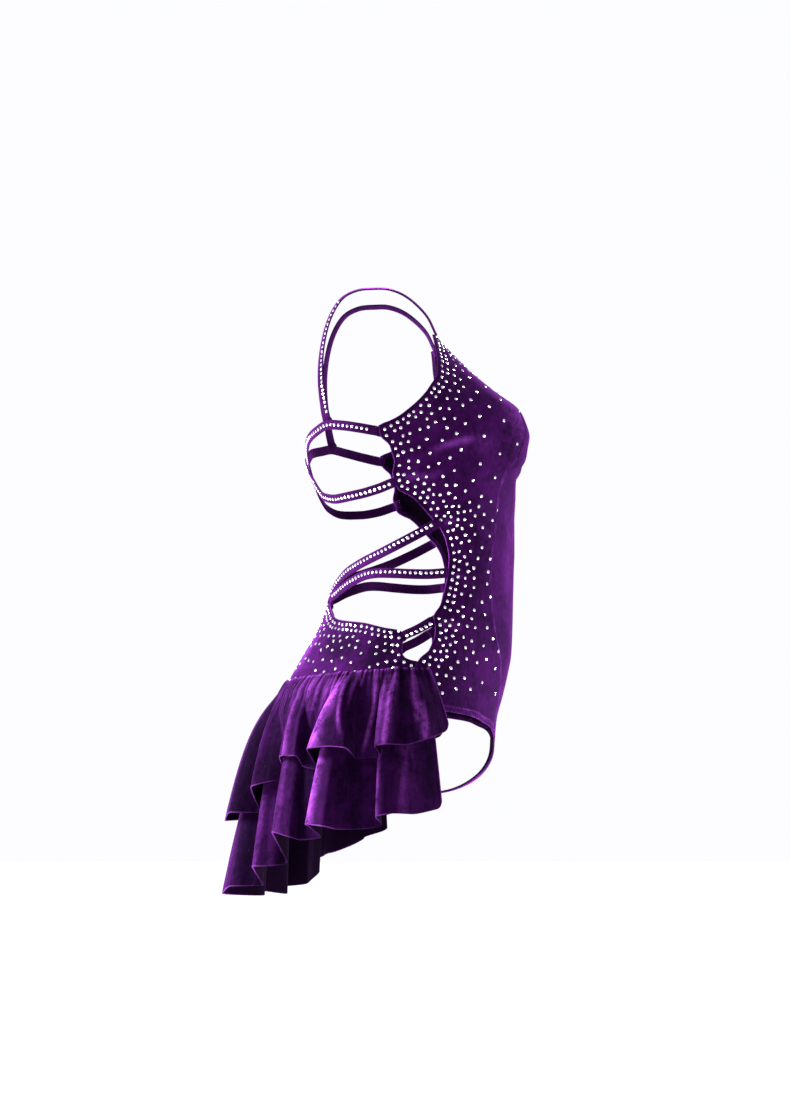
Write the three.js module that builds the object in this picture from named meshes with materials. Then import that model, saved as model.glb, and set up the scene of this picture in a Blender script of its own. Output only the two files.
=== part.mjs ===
// A backless latin dance dress with two tiers of ruffle, in the hollow form it has when worn.
// Millimetres, +Z up, the front faces -Y and the wearer's left side is +X.
// The origin lies midway between the tops of the two shoulder straps.
// A place on the garment is given as an angle and a height on a general figure: the angle is in
// degrees from the centre front, and grows round the wearer's right side to 180 at the centre back.

import * as THREE from "three";

// ---- driving dimensions ----
const VELVET = 1.6; // wall of a body panel
const RUFFLE_VELVET = 1.4; // wall of a ruffle, one layer with a rolled hem
const STRAP_WIDTH = 12; // a folded strap, finished
const STRAP_THICKNESS = 2;
const SEAM_GAP = 0.3; // between neighbouring pieces
const STRAP_LIFT = 0.3; // a strap's inner face above the figure
const RUFFLE_LIFT = 0.6; // a ruffle's seam above the panels

const CUP_CENTRE = 78; // sideways distance of each bust cup from the centre front
const CUP_SPREAD = 46;
const LEG_CORNER_ANGLE = 12; // where the princess seam meets the leg opening
const SIDE_SEAM_ANGLE = 80.5;
const CROTCH_SEAM_DEPTH = -2;
const RUFFLE_SEAM_SIDE = -474.5; // height of the upper ruffle's seam at the side
const RUFFLE_SEAM_BACK = -486; // and at the centre back
const RUFFLE_SPACING = 17; // from the upper ruffle's seam down to the lower one's
const UPPER_FLARE = 0.5; // below 1 a ruffle springs outwards first and then hangs
const LOWER_FLARE = 0.7;
const SEAM_EASE = 20; // how far below its seam a ruffle starts to spring

const VELVET_PURPLE = 0x4a1468;
const STRAP_PURPLE = 0x431260;
const RUFFLE_PURPLE = 0x3f0f5a;

// ---- tables ----

function table(names, rows) {
  const keys = names.split(" ");
  return rows.map((row) => Object.fromEntries(keys.map((key, i) => [key, row[i]])));
}

// The general figure, a section at each height. front, back and middle are Y, half is the
// half width, the powers square the section's front and back (2 is an ellipse) and cup is the
// bust's extra depth.
const FIGURE = table("height front back half middle front_power back_power cup", [
  [-30, -56, 80, 104, 12, 2.2, 2.2, 0],
  [-60, -75, 95, 116, 12, 2.2, 2.2, 2],
  [-100, -103.8, 101, 132, 8, 2.3, 2.3, 12],
  [-130, -126, 101, 140, 4, 2.3, 2.3, 26],
  [-156, -146.8, 99, 144, -2, 2.3, 2.3, 39],
  [-180, -155, 96, 147, -8, 2.3, 2.3, 40],
  [-198, -160, 92, 148, -12, 2.3, 2.3, 33],
  [-215, -163, 87, 147, -17, 2.3, 2.3, 26],
  [-230, -165, 84, 144, -22, 2.3, 2.3, 12],
  [-256, -167, 77, 138, -30, 2.3, 2.3, 3],
  [-285, -166, 66, 131, -42, 2.3, 2.3, 0],
  [-320, -166, 52, 124, -53, 2.25, 2.25, 0],
  [-350, -165, 46, 121, -57, 2.2, 2.2, 0],
  [-385, -164, 62, 125, -52, 2.2, 2.2, 0],
  [-422, -163, 77, 139, -40, 2.15, 2.15, 0],
  [-450, -161.5, 93.2, 152, -28, 2.1, 2.1, 0],
  [-475, -157, 107.5, 163, -19, 2, 2, 0],
  [-500, -151, 119.5, 170, -14, 2.1, 2.05, 0],
  [-530, -143, 128, 174, -10, 2.3, 2.05, 0],
  [-560, -140, 126, 174, -8, 2.5, 2.05, 0],
]);

// The front edge of a side panel: the neckline down to the seam's start, then the princess seam.
const NECKLINE_END = -75;
const PRINCESS_EDGE = table("height angle", [
  [-58, 24.5],
  [-75, 21],
  [-110, 24.5],
  [-150, 28.5],
  [-192, 32],
  [-238, 36],
  [-290, 40],
  [-332, 46],
  [-362, 47],
  [-399, 43],
  [-437, 35],
  [-462, 26.5],
  [-488, 20],
  [-520, 15.5],
  [-553, 12],
]);

// The back edge of a side panel: armhole, band corner, waist cut-out, strap corner, side hole, seam.
const SIDE_EDGE = table("height angle", [
  [-58, 31],
  [-81, 46.4],
  [-107, 56.9],
  [-118, 60.6],
  [-129, 66.2],
  [-145, 73.7],
  [-160, 80.5],
  [-170, 85.2],
  [-178, 90],
  [-183, 94],
  [-195, 94],
  [-207, 90.8],
  [-222, 90.8],
  [-243, 93.8],
  [-257, 93.4],
  [-266, 89.2],
  [-280, 86.3],
  [-294, 83.2],
  [-304, 80.7],
  [-320, 78.7],
  [-338, 77.9],
  [-351, 78.4],
  [-378, 79.3],
  [-397, 80],
  [-409, 81.8],
  [-424, 78.8],
  [-439, 77.2],
  [-452, 77.5],
  [-461, 80],
  [-466, 80.5],
  [-474.5, 80.5],
  [-525, 80.5],
]);

// The V neckline of the centre panel: sideways part of its half width, and height.
const NECKLINE = table("part height", [
  [0, -141],
  [0.3, -133],
  [0.6, -113],
  [0.85, -89],
  [1, -75],
]);

// The leg opening on the front: angle, and height of the edge.
const LEG_EDGE = table("angle height", [
  [12, -553],
  [15, -549],
  [23, -542],
  [32.6, -537],
  [42, -531],
  [52, -527.5],
  [61.5, -525],
  [80.5, -523],
]);

// The brief from the legs' corners back to the crotch seam, and then up the seat. A row runs from
// the centre line to the leg opening, as an arc that turns by the angle named turn.
const BRIEF_ROW = "centre_y centre_z edge_x edge_y edge_z turn";
const FRONT_GUSSET = table(BRIEF_ROW, [
  [-138, -577, 48, -136, -574, 24],
  [-130, -592, 45, -128, -590, 26],
  [-115, -606, 42, -113, -604, 28],
  [-90, -617, 39, -90, -615.5, 30],
  [-58, -622.5, 37.5, -58, -621, 30],
  [-28, -624.5, 37, -28, -623.5, 30],
]);
const SEAT_GUSSET = table(BRIEF_ROW, [
  [96, -602, 86, 85, -595, 52],
  [66, -616, 55, 60, -612, 40],
  [30, -623, 40, 28, -621.5, 32],
]);
// The seat above them lies on the figure, drawn in by tuck. Its ends are at the leg opening.
const SEAT = table("edge_angle edge_height centre_height tuck", [
  [80.5, -500, -510, 0],
  [80.5, -523, -530, 0],
  [96, -526.5, -547, 0.5],
  [112, -538, -562, 3],
  [128, -557, -576, 9],
  [139, -577, -590, 18],
]);

// The back yoke's upper edge, from its front corner to the peak at the centre back.
const YOKE_FRONT_ANGLE = 93.5;
const YOKE_EDGE = table("angle height", [
  [93.5, -431],
  [96, -428],
  [104, -425],
  [119, -418],
  [131, -415],
  [141, -412],
  [147, -408.5],
  [153, -402],
  [160, -394],
  [168, -389.5],
  [180, -388.5],
]);

// Its front edge runs down behind the side hole, and under the hole forward to the side seam.
const YOKE_FRONT = table("height angle", [
  [-431, 93.5],
  [-439.5, 91.6],
  [-450, 90.4],
  [-457, 89.2],
  [-461.5, 87.3],
  [-464.5, 84],
  [-466.2, 80.62],
  [-474.5, 80.62],
]);

// Centre lines of the straps that lie free of the figure, for the wearer's right side.
const SHOULDER_STRAP = table("x y z", [
  [-57, -68, -56.4],
  [-58, -56, -33],
  [-60, -34, -12],
  [-61, -12, -2],
  [-62, 8, -1],
  [-62, 29, -3.5],
  [-64, 48, -15],
  [-68, 62.5, -42],
  [-77, 70.5, -80],
  [-92, 71.5, -118],
  [-111, 67, -154],
  [-117.3, 63.8, -169.9],
]);
const UPPER_WAIST_STRAP = table("x y z", [
  [-129.7, -66.8, -299.7],
  [-128, -42, -313],
  [-119, -16, -326],
  [-104, 3, -334.5],
  [-88, 18.8, -341.2],
  [-72, 29.3, -346],
  [-54, 39.4, -351.2],
  [-40, 46.2, -356.9],
  [-24, 53, -364],
  [-13, 58.5, -372],
  [-8, 61.5, -379],
  [-6.8, 63.6, -385.6],
]);
const LOWER_WAIST_STRAP = table("x y z", [
  [-121.8, -79.2, -357.5],
  [-125.5, -60, -359.2],
  [-124.5, -40, -359],
  [-118.5, -18, -357.6],
  [-106, 3, -356.5],
  [-90, 18.8, -358.3],
  [-68, 34.7, -364.8],
  [-49, 45.5, -370.9],
  [-34, 53, -376.4],
  [-24, 58, -380],
  [-20, 60.5, -384],
]);

// Centre lines of the straps that lie on the figure. A back band starts at the armhole corner,
// crosses the other one at the centre back and ends at the waist cut-out of the far side.
const BACK_BAND = table("angle height", [
  [95.4, -189],
  [105.7, -184.5],
  [118, -180],
  [129, -177.5],
  [141, -182],
  [157, -189.5],
  [169, -201],
  [180, -214],
  [190, -232],
  [198, -249],
  [205, -259],
  [221, -264.5],
  [241, -262],
  [255, -257],
  [266.25, -249.5],
]);
const CROSSING_RISE = STRAP_THICKNESS + 3 * SEAM_GAP; // the left band passes over the right one
const CROSSING_SPREAD = 11; // degrees
const HIP_STRAP = table("angle height", [
  [91.95, -434.2],
  [87, -426.5],
  [81.75, -416.9],
]);

// Ruffle folds, a row for each ridge and each trough along the seam, from the right front end
// round the back to the left front end. reach and drop are from the seam to the hem, and lean
// is the hem's shift along the seam, positive towards the nearer front end.
const UPPER_FOLDS = table("angle reach drop lean", [
  [73.3, 30, 72, 12],
  [80, 44, 84, 0],
  [86, 49, 90, -6],
  [91, 51, 89, -8],
  [94.5, 43, 90, -7],
  [99, 29, 102, 9],
  [104.5, 27, 103, -4],
  [109, 57, 90, 7],
  [113, 58, 88, -2],
  [117, 48, 91, -19],
  [122.5, 26, 113, -5],
  [131, 27, 108, -3],
  [138, 40, 95, 20],
  [143, 40, 95, 8],
  [149, 18, 119, 3],
  [157, 37, 124, 12],
  [162, 51, 130, 13],
  [169, 33, 160, 3],
  [177, 69, 159, 14],
  [182, 78, 170, -4],
  [190, 33, 166, 10],
  [196, 50, 151, 18],
  [201, 54, 147, 4],
  [208, 30, 134, 16],
  [215, 40, 112, 14],
  [220, 44, 110, 2],
  [227, 26, 118, 2],
  [235, 28, 112, -2],
  [241, 52, 94, -14],
  [246, 58, 90, 4],
  [251, 50, 92, 10],
  [257, 27, 105, 2],
  [263, 30, 102, 8],
  [268, 50, 90, -6],
  [274, 47, 88, -2],
  [281, 42, 82, 0],
  [286.7, 30, 72, 12],
]);
const LOWER_FOLDS = table("angle reach drop lean", [
  [73.3, 24, 146, 8],
  [81, 34, 153, -7],
  [87, 38, 152, -8],
  [91.5, 41, 153, -5],
  [94.5, 33, 156, -2],
  [99, 17, 165, 12],
  [104.5, 22, 168, -1],
  [109, 39, 167, -5],
  [113, 54, 163, -2],
  [117, 44, 161, -15],
  [122.5, 18, 176, 2],
  [131, 21, 178, -2],
  [138, 36, 173, 15],
  [143, 39, 168, 5],
  [149, 11, 204, 4],
  [157, 27, 207, 17],
  [162, 42, 208, 17],
  [169, 23, 231, 5],
  [177, 60, 232, 16],
  [182, 74, 243, -3],
  [190, 27, 247, 14],
  [196, 46, 245, 24],
  [201, 54, 243, 8],
  [208, 26, 250, 26],
  [215, 42, 246, 18],
  [220, 50, 244, 2],
  [227, 22, 240, 2],
  [235, 24, 228, 0],
  [241, 44, 214, -12],
  [246, 54, 206, 2],
  [251, 42, 196, 8],
  [257, 20, 186, 0],
  [263, 19, 176, 12],
  [268, 36, 162, -4],
  [274, 40, 156, -8],
  [281, 33, 152, -6],
  [286.7, 24, 146, 8],
]);

// ---- curves through tables ----

const radians = (degrees) => (degrees * Math.PI) / 180;
const mix = (from, to, part) => from + (to - from) * part;
const signedPower = (value, power) => Math.sign(value) * Math.abs(value) ** power;

// A smooth curve through a table's rows that never swings past them (monotone cubic).
function through(rows, along, value) {
  const sorted = [...rows].sort((p, q) => p[along] - q[along]);
  const x = sorted.map((row) => row[along]);
  const y = sorted.map((row) => row[value]);
  const last = x.length - 1;
  const slopes = x.slice(1).map((_, i) => (y[i + 1] - y[i]) / (x[i + 1] - x[i]));
  const tangents = y.map((_, i) => {
    if (i === 0) return slopes[0];
    if (i === last) return slopes[last - 1];
    const before = slopes[i - 1];
    const after = slopes[i];
    return before * after <= 0 ? 0 : (2 * before * after) / (before + after);
  });
  return (at) => {
    const place = Math.min(Math.max(at, x[0]), x[last]);
    let i = 0;
    while (i < last - 1 && place > x[i + 1]) i += 1;
    const span = x[i + 1] - x[i];
    const t = (place - x[i]) / span;
    const ease = t * t * (3 - 2 * t);
    const start = t * (1 - t) * (1 - t) * tangents[i];
    const end = t * t * (t - 1) * tangents[i + 1];
    return mix(y[i], y[i + 1], ease) + span * (start + end);
  };
}

function steps(count) {
  return Array.from({ length: count + 1 }, (_, i) => i / count);
}

// ---- the general figure ----

const figureCurve = Object.fromEntries(
  Object.keys(FIGURE[0]).map((key) => [key, through(FIGURE, "height", key)]),
);

// A superellipse section, with a bell-shaped cup on each side of the centre front.
function figure(angle, height) {
  const sine = Math.sin(radians(angle));
  const cosine = Math.cos(radians(angle));
  const half = cosine > 0 ? "front" : "back";
  const depth = figureCurve[half](height);
  const roundness = 2 / figureCurve[`${half}_power`](height);
  const middle = figureCurve.middle(height);
  const x = -figureCurve.half(height) * signedPower(sine, roundness);
  const y = middle + (depth - middle) * Math.abs(cosine) ** roundness;
  const bell = Math.exp(-(((Math.abs(x) - CUP_CENTRE) / CUP_SPREAD) ** 2));
  const forward = Math.min(Math.max(3 * cosine, 0), 1);
  return new THREE.Vector3(x, y - figureCurve.cup(height) * bell * forward, height);
}

function figureNormal(angle, height) {
  const turn = 0.5;
  const around = figure(angle + turn, height).sub(figure(angle - turn, height));
  const down = figure(angle, height - 1).sub(figure(angle, height + 1));
  return around.cross(down).normalize();
}

// ---- solids ----

function closedBody(points, faces) {
  const geometry = new THREE.BufferGeometry();
  geometry.setAttribute("position", new THREE.Float32BufferAttribute(points.flatMap((p) => p.toArray()), 3));
  let volume = 0;
  for (const [a, b, c] of faces) {
    volume += points[a].dot(points[b].clone().cross(points[c])) / 6;
  }
  const outward = volume > 0 ? faces : faces.map(([a, b, c]) => [a, c, b]);
  geometry.setIndex(outward.flat());
  geometry.computeVertexNormals();
  return geometry;
}

function quad(faces, a, b, c, d) {
  faces.push([a, b, c], [a, c, d]);
}

// Normals of a grid of points, all on the side that faces away from the garment's axis.
function gridNormals(grid) {
  const axis = new THREE.Vector3(0, figureCurve.middle(grid[0][0].z), 0);
  let outward = 0;
  const normals = grid.map((row, i) =>
    row.map((point, j) => {
      const across = row[Math.min(j + 1, row.length - 1)].clone().sub(row[Math.max(j - 1, 0)]);
      const down = grid[Math.min(i + 1, grid.length - 1)][j].clone().sub(grid[Math.max(i - 1, 0)][j]);
      const normal = across.cross(down).normalize();
      outward += normal.dot(point.clone().sub(axis).setZ(0));
      return normal;
    }),
  );
  return outward > 0 ? normals : normals.map((row) => row.map((normal) => normal.negate()));
}

// A cloth wall: the grid's points are its inner face, and its outer face is moved out by the
// thickness along the normals. The four rims close it.
function clothWall(grid, thickness) {
  const normals = gridNormals(grid);
  const rows = grid.length;
  const columns = grid[0].length;
  const inner = grid.flat();
  const outer = grid.flatMap((row, i) =>
    row.map((point, j) => point.clone().addScaledVector(normals[i][j], thickness)),
  );
  const faces = [];
  const at = (i, j) => i * columns + j;
  const out = (i, j) => rows * columns + at(i, j);
  for (let i = 0; i < rows - 1; i += 1) {
    for (let j = 0; j < columns - 1; j += 1) {
      quad(faces, at(i, j), at(i, j + 1), at(i + 1, j + 1), at(i + 1, j));
      quad(faces, out(i, j), out(i + 1, j), out(i + 1, j + 1), out(i, j + 1));
    }
  }
  for (let j = 0; j < columns - 1; j += 1) {
    quad(faces, at(0, j), out(0, j), out(0, j + 1), at(0, j + 1));
    quad(faces, at(rows - 1, j), at(rows - 1, j + 1), out(rows - 1, j + 1), out(rows - 1, j));
  }
  for (let i = 0; i < rows - 1; i += 1) {
    quad(faces, at(i, 0), at(i + 1, 0), out(i + 1, 0), out(i, 0));
    quad(faces, at(i, columns - 1), out(i, columns - 1), out(i + 1, columns - 1), at(i + 1, columns - 1));
  }
  return closedBody([...inner, ...outer], faces);
}

// A flat strap: a rectangle carried along the centre line of its inner face. Its broad face
// looks along the outward directions given for the same points.
function strapAlong(centres, outwards) {
  const points = [];
  const faces = [];
  const last = centres.length - 1;
  centres.forEach((centre, i) => {
    const along = centres[Math.min(i + 1, last)].clone().sub(centres[Math.max(i - 1, 0)]).normalize();
    const across = along.clone().cross(outwards[i]).normalize();
    const outward = across.clone().cross(along).normalize();
    for (const [side, level] of [[-1, 0], [1, 0], [1, 1], [-1, 1]]) {
      const corner = centre.clone().addScaledVector(across, (side * STRAP_WIDTH) / 2);
      points.push(corner.addScaledVector(outward, level * STRAP_THICKNESS));
    }
    if (i === 0) return;
    for (let k = 0; k < 4; k += 1) {
      const next = (k + 1) % 4;
      quad(faces, 4 * i - 4 + k, 4 * i - 4 + next, 4 * i + next, 4 * i + k);
    }
  });
  quad(faces, 3, 2, 1, 0);
  quad(faces, 4 * last, 4 * last + 1, 4 * last + 2, 4 * last + 3);
  return closedBody(points, faces);
}

function mirrored(geometry) {
  const copy = geometry.clone().scale(-1, 1, 1);
  const index = copy.index.array;
  for (let i = 0; i < index.length; i += 3) {
    [index[i + 1], index[i + 2]] = [index[i + 2], index[i + 1]];
  }
  copy.computeVertexNormals();
  return copy;
}

// ---- body panels ----

const princessAngle = through(PRINCESS_EDGE, "height", "angle");
const sideAngle = through(SIDE_EDGE, "height", "angle");
const legHeight = through(LEG_EDGE, "angle", "height");
const yokeHeight = through(YOKE_EDGE, "angle", "height");
const yokeFrontAngle = through(YOKE_FRONT, "height", "angle");
const necklineHeight = through(NECKLINE, "part", "height");
const LEG_START = -500; // below this the side panel's rows bend to the leg opening
const GAP_TURN = 0.12; // half a seam gap, in degrees round the figure
const BACK_COLUMNS = 24; // the yoke and the seat share their points along the ruffle's seam

// Heights of the side panels' rows. The centre panel repeats them along the princess seams.
const panelHeights = [
  ...SIDE_EDGE.map((row) => row.height).filter((height) => height > LEG_START),
  LEG_START,
];

// A row of the brief: an arc from the centre line to the leg opening, and its mirror image.
function briefRow(row, columns) {
  return steps(columns).map((part) => {
    const side = 1 - 2 * part;
    const turned = radians(row.turn * Math.abs(side));
    const turn = radians(row.turn);
    const inward = (1 - Math.cos(turned)) / (1 - Math.cos(turn));
    return new THREE.Vector3(
      (-Math.sign(side) * row.edge_x * Math.sin(turned)) / Math.sin(Math.min(turn, Math.PI / 2)),
      mix(row.centre_y, row.edge_y, inward),
      mix(row.centre_z, row.edge_z, inward),
    );
  });
}

function frontCentrePanel() {
  const columns = 8;
  const legRow = -560; // centre front height of the row whose ends are the legs' corners
  const corner = LEG_EDGE[0].height;
  const edge = [NECKLINE_END, ...panelHeights.filter((height) => height < NECKLINE_END)];
  const rows = [...edge, corner].map((edgeHeight) =>
    steps(columns).map((part) => {
      const side = 1 - 2 * part;
      const down = (edgeHeight - NECKLINE_END) / (corner - NECKLINE_END);
      const height = edgeHeight + (necklineHeight(Math.abs(side)) - NECKLINE_END) * (1 - down)
        + (1 - Math.abs(side)) * (legRow - corner) * down;
      return figure((princessAngle(edgeHeight) - GAP_TURN) * side, height);
    }),
  );
  const gusset = FRONT_GUSSET.map((row) => briefRow(row, columns));
  const crotch = FRONT_GUSSET[FRONT_GUSSET.length - 1];
  const seam = { ...crotch, centre_y: CROTCH_SEAM_DEPTH, edge_y: CROTCH_SEAM_DEPTH };
  return clothWall([...rows, ...gusset, briefRow(seam, columns)], VELVET);
}

function frontSidePanel() {
  const across = steps(5);
  const rows = panelHeights.map((height) =>
    across.map((part) => {
      const front = princessAngle(height) + (height < NECKLINE_END ? GAP_TURN : 0);
      return figure(mix(front, sideAngle(height) - GAP_TURN, part), height);
    }),
  );
  const legEdge = across.map((part) => {
    const angle = mix(LEG_CORNER_ANGLE + GAP_TURN, SIDE_SEAM_ANGLE - GAP_TURN, part);
    return figure(angle, legHeight(angle));
  });
  return clothWall([...rows, legEdge], VELVET);
}

// Height of the upper ruffle's seam, which sinks slowly from the sides to the centre back.
function ruffleSeamHeight(angle) {
  const fromSide = Math.min(Math.max((90 - Math.abs(angle - 180)) / 90, 0), 1);
  return mix(RUFFLE_SEAM_SIDE, RUFFLE_SEAM_BACK, fromSide ** 0.8);
}

function backYoke() {
  const seamEnd = SIDE_SEAM_ANGLE + GAP_TURN;
  const corner = yokeHeight(YOKE_FRONT_ANGLE);
  const rows = [0, 0.25, 0.55, 0.7, 0.77, 0.81, 1].map((down) => {
    const frontAngle = yokeFrontAngle(mix(corner, RUFFLE_SEAM_SIDE, down));
    const forward = (YOKE_FRONT_ANGLE - frontAngle) / (YOKE_FRONT_ANGLE - seamEnd);
    return steps(BACK_COLUMNS).map((part) => {
      const side = 2 * part - 1;
      const topAngle = 180 - (180 - YOKE_FRONT_ANGLE) * Math.abs(side);
      const seamAngle = 180 - (180 - seamEnd) * Math.abs(side);
      const angle = mix(topAngle, seamAngle, forward);
      const height = mix(yokeHeight(topAngle), ruffleSeamHeight(seamAngle) + SEAM_GAP, down);
      return figure(side < 0 ? angle : 360 - angle, height);
    });
  });
  return clothWall(rows, VELVET);
}

// The seat's rows end at the leg opening, and between their ends sink to the centre back.
function seatPanel() {
  const turns = steps(BACK_COLUMNS).map((part) => 2 * part - 1);
  const top = turns.map((side) => {
    const angle = 180 + side * (180 - SIDE_SEAM_ANGLE - GAP_TURN);
    return figure(angle, ruffleSeamHeight(angle));
  });
  const onFigure = SEAT.map((row) =>
    turns.map((side) => {
      const angle = 180 + side * (180 - row.edge_angle - GAP_TURN);
      const height = mix(row.centre_height, row.edge_height, side * side);
      return figure(angle, height).addScaledVector(figureNormal(angle, height), -row.tuck);
    }),
  );
  const gusset = SEAT_GUSSET.map((row) => briefRow(row, BACK_COLUMNS));
  const front = FRONT_GUSSET[FRONT_GUSSET.length - 1];
  const behindSeam = CROTCH_SEAM_DEPTH + SEAM_GAP;
  const crotch = briefRow({ ...front, centre_y: behindSeam, edge_y: behindSeam }, BACK_COLUMNS);
  return clothWall([top, ...onFigure, ...gusset, crotch], VELVET);
}

// ---- straps ----

function freeStrap(rows, count, outward) {
  const line = new THREE.CatmullRomCurve3(rows.map((row) => new THREE.Vector3(row.x, row.y, row.z)));
  const centres = line.getSpacedPoints(count);
  return strapAlong(centres, centres.map(outward));
}

function strapOnFigure(rows, count, rise) {
  const height = through(rows, "angle", "height");
  const start = rows[0].angle;
  const end = rows[rows.length - 1].angle;
  const angles = steps(count).map((part) => mix(start, end, part));
  const outwards = angles.map((angle) => figureNormal(angle, height(angle)));
  const centres = angles.map((angle, i) =>
    figure(angle, height(angle)).addScaledVector(outwards[i], STRAP_LIFT + rise(angle)),
  );
  return strapAlong(centres, outwards);
}

// The shoulder strap faces away from a line that runs down inside the shoulder from its top point.
function shoulderStrap() {
  const inside = new THREE.Vector3(-42, 8, -60);
  return freeStrap(SHOULDER_STRAP, 20, (point) =>
    point.clone().sub(inside.clone().setZ(Math.min(inside.z, point.z))),
  );
}

// A waist strap faces away from a line up the middle of the waist.
function waistStrap(rows) {
  const middle = new THREE.Vector3(0, -40, 0);
  return freeStrap(rows, 12, (point) => point.clone().sub(middle.clone().setZ(point.z)));
}

function backBand(over) {
  const rise = (angle) =>
    over ? CROSSING_RISE * Math.exp(-(((angle - 180) / CROSSING_SPREAD) ** 4)) : 0;
  return strapOnFigure(BACK_BAND, 32, rise);
}

function hipStrap() {
  return strapOnFigure(HIP_STRAP, 4, () => 0);
}

// ---- ruffles ----

// How far the figure at a height stands out past a seam point, along its outward direction.
function swellPast(seam, outward, angle, height) {
  return figure(angle, height).sub(seam).dot(outward);
}

// The part of its reach that a ruffle has at a depth below its seam.
function springOut(depth, drop, flare) {
  const started = (1 - Math.exp(-depth / SEAM_EASE)) / (1 - Math.exp(-drop / SEAM_EASE));
  return (depth / drop) ** flare * started;
}

// A ruffle hangs from its seam on the panels and springs out to its reach, so its ridges open into
// flutes towards the hem. Its troughs lie on the seat where that swells out further, or on the
// cloth between, of the thickness named under.
function ruffle(folds, seamDrop, flare, under) {
  const reach = through(folds, "angle", "reach");
  const drop = through(folds, "angle", "drop");
  const lean = through(folds, "angle", "lean");
  const stepsPerFold = 2;
  const angles = folds.slice(1).flatMap((row, i) =>
    steps(stepsPerFold).slice(i === 0 ? 0 : 1).map((part) => mix(folds[i].angle, row.angle, part)),
  );
  const grid = [0, 0.07, 0.18, 0.38, 0.68, 1].map((down) =>
    angles.map((angle) => {
      const height = ruffleSeamHeight(angle) - seamDrop;
      const outward = figureNormal(angle, height).setZ(0).normalize();
      const forward = new THREE.Vector3(-outward.y, outward.x, 0).multiplyScalar(angle < 180 ? 1 : -1);
      const seam = figure(angle, height);
      const depth = drop(angle) * down;
      const layer = under * Math.min(depth / RUFFLE_SPACING, 1);
      const resting = swellPast(seam, outward, angle, height - depth) + layer;
      const stand = Math.max(reach(angle) * springOut(depth, drop(angle), flare), resting);
      return seam
        .addScaledVector(outward, VELVET + RUFFLE_LIFT + stand)
        .addScaledVector(forward, lean(angle) * down)
        .add(new THREE.Vector3(0, 0, -depth));
    }),
  );
  return clothWall(grid, RUFFLE_VELVET);
}

// ---- the dress ----

const dress = new THREE.Group();

function add(name, geometry, color) {
  const material = new THREE.MeshStandardMaterial({ color, roughness: 0.85, metalness: 0 });
  const mesh = new THREE.Mesh(geometry, material);
  mesh.name = name;
  dress.add(mesh);
}

function addPair(name, geometry, color) {
  add(`${name}_right`, geometry, color);
  add(`${name}_left`, mirrored(geometry), color);
}

add("front_centre_panel", frontCentrePanel(), VELVET_PURPLE);
addPair("front_side_panel", frontSidePanel(), VELVET_PURPLE);
add("back_yoke", backYoke(), VELVET_PURPLE);
add("seat_panel", seatPanel(), VELVET_PURPLE);
addPair("shoulder_strap", shoulderStrap(), STRAP_PURPLE);
add("back_band_right", backBand(false), STRAP_PURPLE);
add("back_band_left", mirrored(backBand(true)), STRAP_PURPLE);
addPair("upper_waist_strap", waistStrap(UPPER_WAIST_STRAP), STRAP_PURPLE);
addPair("lower_waist_strap", waistStrap(LOWER_WAIST_STRAP), STRAP_PURPLE);
addPair("hip_strap", hipStrap(), STRAP_PURPLE);
add("upper_ruffle", ruffle(UPPER_FOLDS, 0, UPPER_FLARE, RUFFLE_VELVET + 2.5), RUFFLE_PURPLE);
add("lower_ruffle", ruffle(LOWER_FOLDS, RUFFLE_SPACING, LOWER_FLARE, 1), RUFFLE_PURPLE);

export default dress;
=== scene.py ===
"""The looks of a backless latin dance dress in purple stretch velvet, as it hangs when worn.

Shapes are worked out in millimetres, and each mesh is put down in metres. A place on the body of the
dress is an angle and a height on a general figure: the angle is in degrees from the centre front, and
grows round the wearer's right side to 180 at the centre back. Each cloth piece is a grid of points,
rows down and columns across, which gets a face on each side and rounded rims.
"""

import bpy
import numpy as np
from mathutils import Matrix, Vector


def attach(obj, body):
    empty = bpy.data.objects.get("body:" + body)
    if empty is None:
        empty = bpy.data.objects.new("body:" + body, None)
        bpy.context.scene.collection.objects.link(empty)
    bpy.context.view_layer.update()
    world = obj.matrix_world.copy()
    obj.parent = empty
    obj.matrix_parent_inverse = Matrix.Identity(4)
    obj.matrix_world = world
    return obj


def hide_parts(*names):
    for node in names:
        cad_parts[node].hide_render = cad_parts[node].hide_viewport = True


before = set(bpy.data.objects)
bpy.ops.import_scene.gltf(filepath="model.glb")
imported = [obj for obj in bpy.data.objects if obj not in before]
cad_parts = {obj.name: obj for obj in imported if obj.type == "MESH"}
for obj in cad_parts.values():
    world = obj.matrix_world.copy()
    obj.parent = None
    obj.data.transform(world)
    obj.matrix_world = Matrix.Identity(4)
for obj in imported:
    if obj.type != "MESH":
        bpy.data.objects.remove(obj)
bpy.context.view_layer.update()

MM = 0.001


def table(names, *rows):
    """Named columns, as arrays."""
    return dict(zip(names.split(), np.array(rows, float).T))


# ---- sizes, in millimetres ----

VELVET = 1.6
RUFFLE_VELVET = 1.2
STRAP_WIDTH = 12
STRAP_THICKNESS = 2.2
STRAP_SIDES = 20
STRAP_GIRTH = 26  # round a strap, for the streaks of its pile
STRAP_LIFT = 0.3
RUFFLE_LIFT = 0.5
TUCK = 9  # of a strap's end, under the edge it is sewn to
TUCK_DEPTH = 2.5
TURNING = 6  # cloth turned in along an open edge
LEG_ELASTIC = 8
CUP_CENTRE = 78
CUP_SPREAD = 46
SIDE_SEAM_ANGLE = 80.5
LEG_CORNER_ANGLE = 12
NECKLINE_END = -75
LEG_START = -500
LEG_ROW_CENTRE = -560  # centre front height of the row whose ends are the legs' corners
OPEN_SIDE_END = -466  # below this the side panel is sewn to the yoke and the seat
SIDE_PANEL_TOP = -58
CROTCH_SEAM = -2  # its place in depth
CROTCH_LAP = 1.2
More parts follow.
